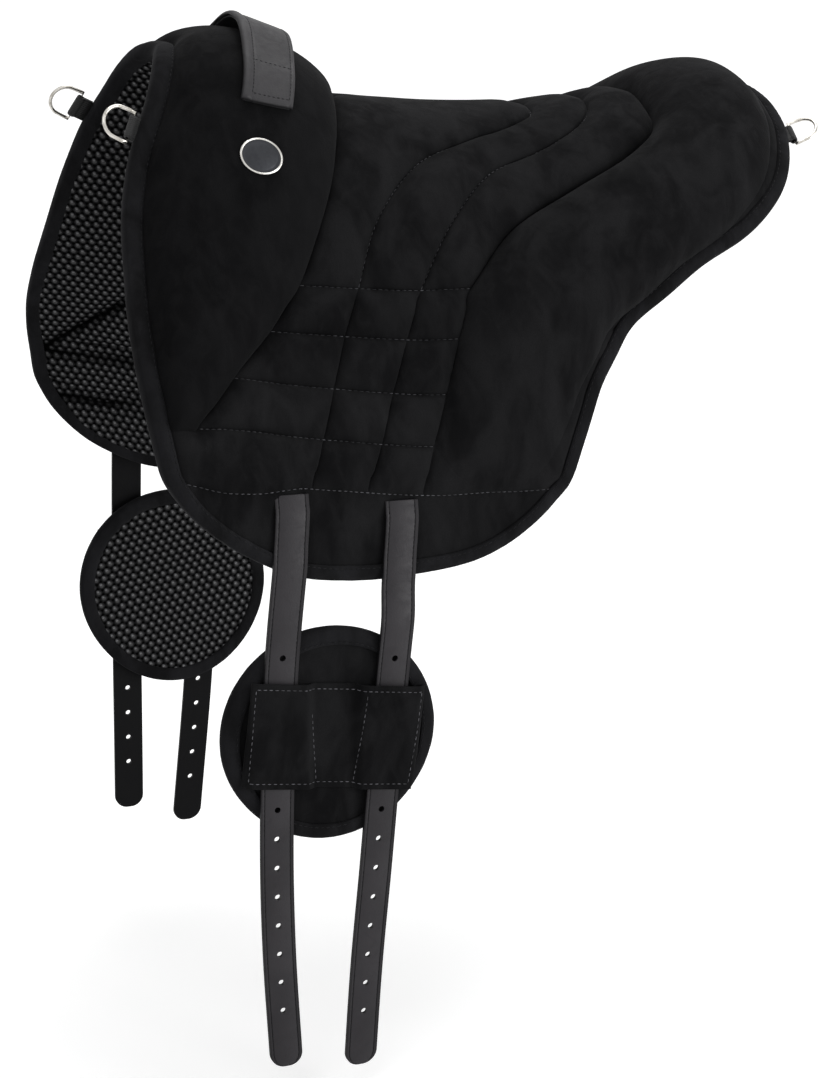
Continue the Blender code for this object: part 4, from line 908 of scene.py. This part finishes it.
def strap_blank(name, length, levels):
    """A strap lying in its own plane: x across, y out of its face, z down from its top edge. It is
    cut across, so that it can bend, and along its grooves, and has a hole at each level."""
    bpy.ops.mesh.primitive_cube_add(size=1, location=(0, 0, -length / 2))
    made = bpy.context.object
    made.name = name
    made.scale = (STRAP_WIDE, STRAP_THICK, length)
    settle(made)
    edit()
    tip_levels = length - TIP + TIP * np.sin(np.linspace(0, np.pi / 2, 13))[:-1]
    for level in [*np.arange(6 * MM, length - TIP - 1 * MM, 7 * MM), *tip_levels]:
        bpy.ops.mesh.select_all(action="SELECT")
        bpy.ops.mesh.bisect(plane_co=(0, 0, -level), plane_no=(0, 0, 1))
    for side in (LEFT, RIGHT):
        for step in (-1, 0, 1):
            aside = side * (STRAP_WIDE / 2 - GROOVE_INSET + step * GROOVE_WIDE)
            bpy.ops.mesh.select_all(action="SELECT")
            bpy.ops.mesh.bisect(plane_co=(aside, 0, 0), plane_no=(1, 0, 0))
    done()
    flat = vertex_array(made)
    flat[:, 0] *= tip_share(flat[:, 2], length)
    set_vertices(made, flat)
    apply_modifier(made, "BEVEL", width=0.9 * MM, segments=3, limit_method="ANGLE",
                   angle_limit=math.radians(50))
    punches = []
    for level in levels:
        bpy.ops.mesh.primitive_cylinder_add(
            vertices=20, radius=HOLE_WIDE / 2, depth=4 * STRAP_THICK,
            location=(0, 0, -level), rotation=(math.pi / 2, 0, 0))
        punches.append(bpy.context.object)
    pick(*punches)
    bpy.ops.object.join()
    cutter = settle(bpy.context.object)
    apply_modifier(made, "BOOLEAN", operation="DIFFERENCE", object=cutter, solver="EXACT")
    bpy.data.objects.remove(cutter, do_unlink=True)
    return made


def strap_profile(x, fade):
    """The strap's inner face: (heights, distances out) from the cover's lower strip over the
    binding to where it hangs. The fade is the length over which it comes away."""
    heights = np.linspace(-1.0, -0.2, 401)
    reach = np.zeros(heights.shape)
    for aside in (-STRAP_WIDE / 2, 0.0, STRAP_WIDE / 2):
        at = x + aside
        t = np.linspace(float(row_depth(LOWEST, at)) - 20 * MM, float(bottom_depth(at)), 60)
        on_hem = t > float(bottom_depth(at)) - 14 * MM
        lift = np.where(on_hem, HEM_HEIGHT + 2.8 * MM, STRIP_HEIGHT + 0.3 * MM)
        points = raised(np.stack([np.full(60, at), t], -1), lift)
        order = np.argsort(points[:, 2])
        reach = np.maximum(reach, np.interp(heights, points[order, 2], points[order, 1]))
    leaves = heights[reach > reach.max() - 0.1 * MM][-1]
    hang = reach.max() + (HANG_OUT - reach.max()) * (1 - eased(heights, leaves - fade, leaves))
    reach = np.where(heights < leaves, hang, reach)
    return heights, np.convolve(np.pad(reach, 4, mode="edge"), np.ones(9) / 9, mode="valid")


# The left straps come away from the binding more slowly
PROFILES = {key: strap_profile(STRAPS[key][0][0], (40 if key[0] == LEFT else 10) * MM)
            for key in STRAPS}


def sideways(key, below):
    """How far to the rear a strap has bent at distances below its top."""
    down, aside = (np.array(a) for a in zip(*BENDS[key]))
    return hermite(down, aside * MM, below)


def bend(points, key):
    """Takes points of a flat strap to where it hangs."""
    (x, z), *_ = STRAPS[key]
    side = key[0]
    across = points[:, 0] + sideways(key, -points[:, 2])
    placed = np.empty_like(points)
    cos, sin = math.cos(LEAN), math.sin(LEAN)
    placed[:, 0] = x + across * cos + points[:, 2] * sin
    placed[:, 2] = z - across * sin + points[:, 2] * cos
    out = np.interp(placed[:, 2], *PROFILES[key]) + STRAP_THICK / 2
    curl = 0.45 * MM * (1 + np.sin(points[:, 2] / 0.045 + x * 40))
    curl = curl * eased(-points[:, 2], 0.12, 0.3)
    tuck = 3.4 * MM * (1 - eased(-points[:, 2], 0.0, 14 * MM))
    placed[:, 1] = side * (out + curl - tuck + points[:, 1])
    return placed


def make_webbing():
    """The two girth webbings over the foam. They end under the lowest seam, at the straps."""
    for name, top, feet in (("front_girth_webbing", -0.40, (-0.3067, -0.3067)),
                            ("rear_girth_webbing", -0.235, (-0.2117, -0.2247))):
        share = np.linspace(-1, 1, 121)
        foot = np.where(share < 0, *feet)
        end = row_depth(LOWEST, foot) - 3 * MM
        t = (share * end)[:, None] * np.ones(5)
        x = (top * SPINE + (foot - top * SPINE) * np.abs(share))[:, None]
        x = x + np.linspace(-14 * MM, 14 * MM, 5)
        places = np.stack([x, t], -1)
        made = layered(name + "_tape", raised(places, 6.5 * MM), raised(places, 4.5 * MM), places,
                       WEBBING, "pad")
        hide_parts(name)


def vertex_array(made):
    co = np.empty(len(made.data.vertices) * 3, np.float32)
    made.data.vertices.foreach_get("co", co)
    return co.reshape(-1, 3).astype(float)


def set_vertices(made, points):
    made.data.vertices.foreach_set("co", np.asarray(points, np.float32).ravel())
    made.data.update()


def smooth_by_angle(made, degrees):
    pick(made)
    bpy.ops.object.shade_smooth_by_angle(angle=math.radians(degrees))


def keep_shade(made, name, shade):
    """Keeps a 0 to 1 darkness for the material to read: the painted edges of leather, and the
    painted shade in the lining's folds.
    """
    layer = made.data.attributes.new(name, "FLOAT", "POINT")
    layer.data.foreach_set("value", np.clip(shade, 0, 1).astype(np.float32))


def make_strap(key):
    _, length, holes, last, pitch = STRAPS[key]
    name = f"{SIDE_NAMES[key[0]]}_{key[1]}_girth_strap"
    made = strap_blank(name + "_leather", length, length - last - pitch * np.arange(holes))
    flat = vertex_array(made)
    half = STRAP_WIDE / 2
    inward = half - np.abs(flat[:, 0]) / tip_share(flat[:, 2], length)
    groove = np.abs(inward - GROOVE_INSET) < 0.1 * MM
    shade = np.where(inward < GROOVE_INSET, 0.15, 0.0) + (inward < 0.4 * MM) * 0.4 + groove * 0.7
    shade += (flat[:, 1] < -0.2 * MM) * 1.0
    keep_shade(made, "edge", shade)
    flat[:, 1] -= 0.35 * MM * (groove & (flat[:, 1] > 0.2 * MM))
    set_vertices(made, bend(flat, key))
    smooth_by_angle(made, 35)
    dressed(made, STRAP, f"{SIDE_NAMES[key[0]]}_straps")
    if key[0] == LEFT:
        face_out(made, agree=True)
    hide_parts(name)
    seams = []
    down = np.linspace(3 * MM, length - 3.2 * MM, 160)
    for aside in (LEFT, RIGHT):
        flat = np.stack([aside * (half - GROOVE_INSET) * tip_share(-down, length),
                         np.full(160, STRAP_THICK / 2 - 0.2 * MM), -down], -1)
        seams.append((bend(flat, key), np.tile((0, key[0], 0), (160, 1))))
    stitched(name + "_stitches", seams, f"{SIDE_NAMES[key[0]]}_straps", DARK_THREAD, 0.4 * MM,
             3.0 * MM, 1.5 * MM)


# ---------------------------------------------------------------- guard discs
DISC_RADIUS = 96 * MM
DISC_CENTRES = {LEFT: (-0.27602, 215.05 * MM, -0.484), RIGHT: (-0.27158, 215.05 * MM, -0.484)}
# Heights over a disc's inner face: the top of its lining, the underside of its foam, its sleeve
DISC_LINING_TOP, DISC_FOAM_LOW, SLEEVE_LOW = 2.1 * MM, 2.3 * MM, 11.5 * MM
SLEEVE_TILT = math.radians(10.0)
SLEEVE_REACH, SLEEVE_THICK = 79 * MM, 1.6 * MM
# The sleeve's rise over the straps, and how far beside their middles it comes down
TUNNEL_HIGH, TUNNEL_SIDES = 6.2 * MM, (24 * MM, 35 * MM)
# The sleeve's points from its lower edge to its upper edge
SLEEVE_LEVELS = np.concatenate([[-46.5], np.linspace(-45.5, 47.5, 44), [48.5]]) * MM
# Ends of the sleeve's seams in its own plane, in millimetres: a rectangle and two inner seams
SLEEVE_SEAMS = (
    ((-76, 43.5), (76, 43.5)), ((76, 43.5), (74, -41.5)), ((74, -41.5), (-74, -41.5)),
    ((-74, -41.5), (-76, 43.5)), ((-22, 22), (-11, -40)), ((25, 40), (23, -40)),
)


def disc_point(side, places, out):
    """Points of a disc, from (along the horse, up) places about its middle and heights outwards.
    It narrows a little downwards and leans, and the right disc is a little taller."""
    across, up = places[..., 0], places[..., 1]
    x, y, z = DISC_CENTRES[side]
    wide = 1.012 - 0.05 * np.clip(-up / DISC_RADIUS, 0, 1.1) ** 1.5
    along = x + across * wide - 0.045 * up
    if side == RIGHT:
        up = up * np.where(up > 0, 1.03, 1.09)
    return np.stack(np.broadcast_arrays(along, side * (y + np.asarray(out)), z + up), -1)


def disc_face_out(radius):
    """Outer face of the disc: foam pressed flat by the straps and thin at its edge."""
    share = np.clip((radius - 70 * MM) / (26 * MM), 0, 1)
    return (11.1 - 3.5 * share ** 1.6) * MM


def make_disc(side):
    name = SIDE_NAMES[side] + "_disc"
    angles = np.linspace(0, 2 * np.pi, 144, endpoint=False)
    reach = np.concatenate([np.linspace(0.02, 0.9, 26), np.linspace(0.92, 1.0, 6)]) * DISC_RADIUS
    a, r = np.meshgrid(angles, reach)
    places = np.stack([r * np.cos(a), r * np.sin(a)], -1)
    soft = ripple(places, SWELLS) * 0.5 * MM
    seam = -0.9 * MM * bell(r - 80 * MM, 2.2 * MM)
    top = disc_point(side, places, disc_face_out(r) + soft + seam)
    low = disc_point(side, places, DISC_FOAM_LOW)
    uv = np.concatenate([places, places[::-1]])
    face = tube(name + "_padded_face", np.concatenate([top, low[::-1]]), SUEDE, name,
                uv=uv)
    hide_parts(f"{name}_face", f"{name}_foam")
    top = disc_point(side, places, DISC_LINING_TOP)
    back = disc_point(side, places, -0.6 * MM * puff(DISC_RADIUS - r, 18 * MM))
    lining = tube(name + "_back_mesh", np.concatenate([top, back[::-1]]), KNOTS, name,
                  uv=uv * (1, -1))
    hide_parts(f"{name}_lining")
    make_disc_binding(side, name)
    make_sleeve(side, name)


def make_disc_binding(side, name):
    angles = np.linspace(0, 2 * np.pi, 240, endpoint=False)
    circle = np.stack([np.cos(angles), np.sin(angles)], -1)
    # Millimetres beyond the disc's edge and outwards, round the folded tape
    section = [(-13, 10.2), (-13, 11.2), (-12, 11.9), (-7, 11.4), (-2, 9.9), (0.6, 8.3), (1.6, 5.6),
               (1.6, 2.6), (0.6, -0.6), (-2, -1.6), (-8, -1.7), (-12, -1.5), (-12, -0.6), (-4, 0.4),
               (-4, 5.0)]
    wave = ripple(angles[:, None] * (DISC_RADIUS, 50 * MM), PUCKERS) * 0.25
    rings = np.stack([disc_point(side, (DISC_RADIUS + beyond * MM) * circle, (out + wave) * MM)
                      for beyond, out in section], 1)
    uv = np.stack(np.meshgrid(np.arange(len(section)) * 1.4 * MM, angles * DISC_RADIUS), -1)
    made = tube(name + "_binding_tape", rings, BINDING, name, loop=True, uv=uv)
    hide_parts(f"{name}_binding")
    path = closed(disc_point(side, (DISC_RADIUS - 10.6 * MM) * circle, 11.95 * MM))
    stitched(name + "_binding_stitches", [(path, np.tile((0, side, 0), (len(path), 1)))], name,
             DARK_THREAD)


def tilted(flat):
    """Places in the sleeve's own plane as (along the horse, up) places about the disc's middle."""
    cos, sin = math.cos(SLEEVE_TILT), math.sin(SLEEVE_TILT)
    along, up = flat[..., 0], flat[..., 1]
    return np.stack([along * cos + up * sin, up * cos - along * sin], -1)


def sleeve_height(side, places):
    """Height of the sleeve over the disc: over both straps, and sewn down beside them."""
    x, _, z = DISC_CENTRES[side]
    out = SLEEVE_LOW
    for end in ("front", "rear"):
        (root_x, root_z), *_ = STRAPS[(side, end)]
        below = (root_z - z - places[..., 1]) / math.cos(LEAN)
        middle = root_x - below * math.sin(LEAN) + sideways((side, end), below) - x
        out = out + TUNNEL_HIGH * (1 - eased(np.abs(places[..., 0] - middle), *TUNNEL_SIDES))
    return out


def make_sleeve(side, name):
    """The suede band across a disc that slides on the straps."""
    u, s = np.meshgrid(SLEEVE_LEVELS, np.linspace(-1, 1, 121), indexing="ij")
    places = np.stack([s * (SLEEVE_REACH + u * 0.02), u], -1)
    far = np.hypot(places[..., 0], u)
    on_disc = tilted(places)
    over_binding = SLEEVE_LOW + eased(far, 80 * MM, 84 * MM) * MM
    out = np.maximum(sleeve_height(side, on_disc), over_binding)
    lip = bell(np.abs(u - 1 * MM) - 47.5 * MM, 1.6 * MM)
    out = out + (ripple(places, SWELLS) * 0.5 + 0.35 * lip) * MM
    out = out - np.interp(far, (89 * MM, 94 * MM, 96.6 * MM), (0, 1.4 * MM, 3.0 * MM))
    made = layered(name + "_suede_sleeve", disc_point(side, on_disc, out + SLEEVE_THICK),
                   disc_point(side, on_disc, out), places, SUEDE, name)
    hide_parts(f"{name}_sleeve")
    tree = tree_of(made)
    outwards = np.array((0, side, 0))
    seams = []
    for start, end in SLEEVE_SEAMS:
        flat = np.linspace(np.array(start) * MM, np.array(end) * MM, 70)
        points = []
        for origin in disc_point(side, tilted(flat), 60 * MM):
            hit = tree.ray_cast(Vector(origin), Vector(-outwards))[0]
            if hit:
                points.append(np.array(hit) + outwards * 0.2 * MM)
        seams.append((np.array(points), np.tile(outwards, (len(points), 1))))
    stitched(name + "_sleeve_stitches", seams, name, THREAD)


# ---------------------------------------------------------------- handle, rings and plate
HANDLE_WIDE, HANDLE_LONG = 46 * MM, 164 * MM
HANDLE_AT = -0.454 * SPINE
# How far in from its front and rear borders it is sewn
FRONT_SEAM, REAR_SEAM = 9 * MM, 4.2 * MM
# Its ends are swept forwards on the left and backwards on the right, where it is shorter
LEFT_SWEEP, RIGHT_SWEEP, RIGHT_SHORT = 17 * MM, -7 * MM, 10 * MM


def handle_line(t):
    """The middle of the handle, along the spine, at t down the flap."""
    sweep = np.where(t < 0, LEFT_SWEEP, RIGHT_SWEEP)
    return HANDLE_AT - sweep * (np.abs(t) / (HANDLE_LONG / 2)) ** 1.5


def make_handle(thigh):
    """The grab handle: leather folded over a thin pad, with a rolled border and sewn seams."""
    tree = tree_of(thigh)
    half = HANDLE_LONG / 2
    t = np.linspace(-half, half - RIGHT_SHORT, 121)
    middle = handle_line(t)
    probes = []
    for aside in np.linspace(-0.5, 0.5, 7) * HANDLE_WIDE:
        points, normals = on_surface(tree, np.stack([middle + aside, t], -1))
        probes.append(((points - underside(middle + aside, t)) * normals).sum(1))
    floor = np.max(probes, axis=0)
    floor = (np.maximum.reduce([np.roll(floor, k) for k in range(-3, 4)]) + floor) / 2
    # The arch is highest about 8 mm to the left of the spine
    u = t + 8 * MM
    arch = 6.8 * MM * (1 - np.where(u < 0, eased(-u, 6 * MM, 44 * MM), eased(u, 2 * MM, 30 * MM)))
    low = floor + arch + 0.2 * MM
    end = puff(np.minimum(half + t, half - RIGHT_SHORT - t), 2.5 * MM)
    side = HANDLE_WIDE / 2

    def section(inset, lift, thick, roll):
        """Points round a flat bar with a raised roll along its front edge and sewn grooves."""
        xs = np.concatenate([np.linspace(-1, 1, 49), np.linspace(1, -1, 17)])
        edge = side - inset
        at = xs[:49] * edge
        rim = bell(at + edge - 4.4 * MM, 3.2 * MM)
        groove = sum(bell(at - line, 0.8 * MM) for line in (FRONT_SEAM - edge, edge - REAR_SEAM))
        round_off = puff(edge - np.abs(at), 2.2 * MM)
        top = thick * (0.35 + 0.65 * round_off) + roll * rim - 0.8 * MM * groove * (roll > 0)
        return xs * edge, np.concatenate([top, np.zeros(17)]) + lift

    pieces = []
    for name, inset, lift, thick, roll, node in (
            ("grab_handle_padded", 0.0, 1.9 * MM, 2.8 * MM, 1.2 * MM, "grab_handle"),
            ("grab_handle_backing_strap", 2 * MM, 0.0, 1.8 * MM, 0.0, "grab_handle_backing")):
        across, heights = section(inset, lift, thick, roll)
        x = middle[:, None] + across[None, :]
        squeeze = 0.6 + 0.4 * end
        height = low[:, None] + lift + (heights - lift)[None, :] * squeeze[:, None]
        tt = np.repeat(t[:, None], x.shape[1], 1)
        places = np.stack([x, tt], -1)
        made = tube(name, raised(places, height), HANDLE, "pad", uv=places)
        shade = np.tile(np.abs(across) > side - inset - 0.8 * MM, (len(t), 1)) * 0.6
        shade = np.maximum(shade, (np.abs(tt) > half - 0.8 * MM) * 0.6)
        keep_shade(made, "edge", shade.ravel())
        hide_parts(node)
        pieces.append(made)
    tree = tree_of(pieces[0])
    front, rear = FRONT_SEAM - side, side - REAR_SEAM
    first, last = 5 * MM - half, half - RIGHT_SHORT - 5 * MM
    runs = [(np.linspace(first, last, 200), at) for at in (front, rear)]
    runs += [(np.full(30, at), np.linspace(front, rear, 30))
             for at in (first, -54 * MM, 46 * MM, last)]
    seams = [on_surface(tree, np.stack([handle_line(tt) + across, tt], -1), 0.1 * MM)
             for tt, across in runs]
    stitched("grab_handle_stitches", seams, "pad", DARK_THREAD, 0.36 * MM, 2.6 * MM, 1.3 * MM)


def matrix_from(place, columns):
    made = Matrix(columns).transposed().to_4x4()
    made.translation = place
    return made


def make_ring(name, body, matrix):
    """A D-ring bent from 3.2 mm wire: a straight bar and a half round, welded in the bar."""
    wire, half, leg = 1.6 * MM, 14.1 * MM, 9.9 * MM
    bpy.ops.mesh.primitive_circle_add(vertices=14, radius=wire, location=(0, half, 0),
                                      rotation=(0, math.pi / 2, 0))
    made = settle(bpy.context.object)
    edit()
    bpy.ops.mesh.spin(steps=36, angle=-math.pi, center=(0, 0, 0), axis=(0, 0, 1))
    made = done()
    points = vertex_array(made)
    along = np.abs(points[:, 0])
    points[:, 0] = along + leg * np.clip(along / (4 * MM), 0, 1)
    set_vertices(made, points)
    edit(lambda co: abs(co.x) < 1e-5)
    bpy.ops.mesh.select_mode(type="EDGE")
    bpy.ops.mesh.bridge_edge_loops()
    bpy.ops.mesh.select_all(action="SELECT")
    bpy.ops.mesh.normals_make_consistent(inside=False)
    made = done()
    made.name = name + "_wire"
    made.data.transform(matrix)
    made.data.shade_smooth()
    dressed(made, NICKEL, body)
    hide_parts(name)


def make_tab(name, matrix):
    """The webbing tab folded round a ring's bar and sewn to the binding."""
    inner, leaf, half, tail = 2.1 * MM, 1.5 * MM, 10 * MM, 12.0 * MM
    line = [(-tail, 0.4 * MM), (-inner - leaf, 0.5 * MM)]
    for k in range(21):
        angle = math.radians(150) * (1 - 2 * k / 20)
        line.append((inner * math.cos(angle), inner * math.sin(angle)))
    line += [(-inner - leaf, -0.5 * MM), (-tail, -0.4 * MM)]
    line = np.array(line)
    run = np.gradient(line, axis=0)
    out = unit(np.stack([run[:, 1], -run[:, 0]], -1))
    if out[12, 0] < 0:
        out = -out
    across = np.linspace(-1, 1, 17) * half
    rim = 1 - 0.35 * np.exp(-(half - np.abs(across)) / (0.6 * MM))
    top = line[:, None] + out[:, None] * (leaf * rim)[None, :, None]
    low = np.repeat(line[:, None], 17, 1)

    def placed(flat):
        points = np.stack([flat[..., 0], np.broadcast_to(across, flat.shape[:2]), flat[..., 1]], -1)
        return points @ np.array(matrix.to_3x3()).T + np.array(matrix.translation)

    run = np.arange(len(line)) * MM
    uv = np.stack(np.broadcast_arrays(across[None, :], run[:, None]), -1)
    made = layered(name + "_webbing", placed(top), placed(low), uv, WEBBING, "pad")
    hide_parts(name)


# Each ring's place and bar on the right side, its face, and its tab's turn against it in degrees
RINGS = {
    "front": ((-0.39089, 0.08166, 0.02321), (-0.43257, 0.3917, -0.81207),
              (0.122, 0.918, 0.378), 0),
    "rear": ((0.24683, 0.09366, -0.01525), (-0.17491, 0.84423, -0.50664),
             (0.558, 0.339, 0.758), 30),
}


def make_fittings():
    """The four rings and the tabs that hold them."""
    for end, (place, bar, normal, tab_turn) in RINGS.items():
        flip = -1 if end == "front" else 1
        for side in (LEFT, RIGHT):
            name = f"{SIDE_NAMES[side]}_{end}_ring"
            at = Vector((place[0], side * place[1], place[2]))
            along = Vector((bar[0], side * bar[1], bar[2])).normalized()
            up = Vector((-side * normal[0], flip * normal[1], flip * side * normal[2]))
            up = (up - along * up.dot(along)).normalized()
            matrix = matrix_from(at, (along.cross(up), along, up))
            make_ring(name, name, matrix)
            turn = math.radians(tab_turn if up.z > 0 else -tab_turn)
            make_tab(name + "_tab", matrix @ Matrix.Rotation(turn, 4, "Y"))


PLATE_LONG, PLATE_HIGH, PLATE_THICK = 34 * MM, 28 * MM, 1.6 * MM


def make_plate(thigh):
    """A plain oval plate with a bright rim on the left thigh block."""
    tree = tree_of(thigh)
    centre = np.array([[-0.497 * SPINE, -0.262 * FLAP]])
    near = ((0, 0), (0.015, 0), (-0.015, 0), (0, 0.013), (0, -0.013))
    point, *sides = (Vector(on_surface(tree, centre + [shift])[0][0]) for shift in near)
    along = (sides[0] - sides[1]).normalized()
    up = along.cross(sides[2] - sides[3]).normalized()
    lift = max((place - point).dot(up) for place in sides)
    matrix = matrix_from(point + up * (max(lift, 0.0) - 0.2 * MM), (along, up.cross(along), up))
    bpy.ops.mesh.primitive_cylinder_add(vertices=72, radius=PLATE_LONG / 2, depth=PLATE_THICK,
                                        location=(0, 0, PLATE_THICK / 2))
    plate = settle(bpy.context.object)
    plate.name = "oval_plate_blank"
    edit(lambda co: co.z > 1 * MM)
    bpy.ops.mesh.select_mode(type="FACE")
    bpy.ops.mesh.inset(thickness=2.6 * MM)
    bpy.ops.transform.translate(value=(0, 0, -0.5 * MM))
    bpy.ops.mesh.inset(thickness=1.2 * MM)
    bpy.ops.transform.translate(value=(0, 0, 0.35 * MM))
    done()
    apply_modifier(plate, "BEVEL", width=0.3 * MM, segments=2, limit_method="ANGLE",
                   angle_limit=math.radians(25))
    set_vertices(plate, vertex_array(plate) * (1, PLATE_HIGH / PLATE_LONG, 1))
    plate.data.transform(matrix)
    smooth_by_angle(plate, 30)
    dressed(plate, GUNMETAL, "pad")
    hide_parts("oval_plate")
    bpy.ops.mesh.primitive_torus_add(
        major_radius=17.9 * MM, minor_radius=1.1 * MM, major_segments=96, minor_segments=16,
        location=(0, 0, 0.9 * MM))
    rim = settle(bpy.context.object)
    rim.name = "oval_plate_bright_rim"
    set_vertices(rim, vertex_array(rim) * (1, 15 / 18, 1))
    rim.data.transform(matrix)
    rim.data.shade_smooth()
    dressed(rim, BRIGHT, "pad")
    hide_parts("oval_plate_rim")


# ---------------------------------------------------------------- scene
def seen_by(tree, *kinds):
    """1 for these kinds of ray and 0 for the others."""
    path = add(tree, "LightPath")
    seen = path.outputs[f"Is {kinds[0]} Ray"]
    for kind in kinds[1:]:
        seen = maths(tree, "MAXIMUM", seen, path.outputs[f"Is {kind} Ray"])
    return seen


def make_stage():
    """A pale floor and soft studio light. The camera sees floor and world near white."""
    material, tree, shader = new_material("pale_paper_floor", Roughness=0.9, Specular_IOR_Level=0.1)
    shader.inputs["Base Color"].default_value = linear("#ececec")
    place = add(tree, "TexCoord").outputs["Object"]
    bumped(tree, shader, noise(tree, place, 3 * MM), 0.05 * MM, 0.3)
    lift = ramp(tree, vector_maths(tree, "LENGTH", place), 1.0, 3.5, 0.42, 0.65)
    strength = maths(tree, "MULTIPLY", seen_by(tree, "Camera", "Glossy"), lift)
    glow = add(tree, "Emission", {"Color": (1, 1, 1, 1), "Strength": strength})
    both = add(tree, "AddShader", {0: shader.outputs[0], 1: glow.outputs[0]})
    tree.links.new(both.outputs[0], tree.nodes["Material Output"].inputs["Surface"])
    bpy.ops.mesh.primitive_plane_add(size=60, location=(0, 0, -0.83))
    floor = bpy.context.object
    settle(floor)
    floor.name = "studio_floor"
    floor.data.materials.append(material)

    world = bpy.data.worlds.new("studio")
    bpy.context.scene.world = world
    world.use_nodes = True
    tree = world.node_tree
    seen = seen_by(tree, "Camera", "Glossy", "Transmission")
    back = tree.nodes["Background"]
    back.inputs["Color"].default_value = (1, 1, 1, 1)
    plug(tree, back, Strength=add(tree, "MapRange", {0: seen, 3: 0.55, 4: 1.0}).outputs[0])

    for name, place, size, power in (
            ("key", (-1.6, -1.7, 1.9), 1.6, 9), ("fill", (1.8, -2.1, 0.0), 2.0, 52),
            ("top", (0.3, 0.3, 2.4), 2.2, 44)):
        lamp = bpy.data.lights.new(name, "AREA")
        lamp.shape = "DISK"
        lamp.size = size
        lamp.energy = power
        made = bpy.data.objects.new(name, lamp)
        made.location = place
        aim = Vector((-0.05, 0, -0.2)) - Vector(place)
        made.rotation_euler = aim.to_track_quat("-Z", "Y").to_euler()
        bpy.context.scene.collection.objects.link(made)


def make_camera():
    data = bpy.data.cameras.new("camera")
    data.lens = 75.9
    data.sensor_width = 36
    camera = bpy.data.objects.new("camera", data)
    azimuth, elevation, distance = math.radians(-24), math.radians(17.6), 2.19
    target = Vector((-0.100, 0, -0.395))
    level = math.cos(elevation)
    look = Vector((-math.sin(azimuth) * level, math.cos(azimuth) * level, -math.sin(elevation)))
    camera.location = target - look * distance
    camera.rotation_euler = look.to_track_quat("-Z", "Y").to_euler()
    bpy.context.scene.collection.objects.link(camera)
    bpy.context.scene.camera = camera
    bpy.context.scene.view_settings.view_transform = "Standard"


def main():
    make_camera()
    make_stage()
    cover = make_cover()
    make_quilting(cover)
    thigh = make_blocks()
    make_lining()
    make_binding()
    for key in STRAPS:
        make_strap(key)
    for side in (LEFT, RIGHT):
        make_disc(side)
    make_handle(thigh)
    make_fittings()
    make_plate(thigh)
    make_webbing()


main()
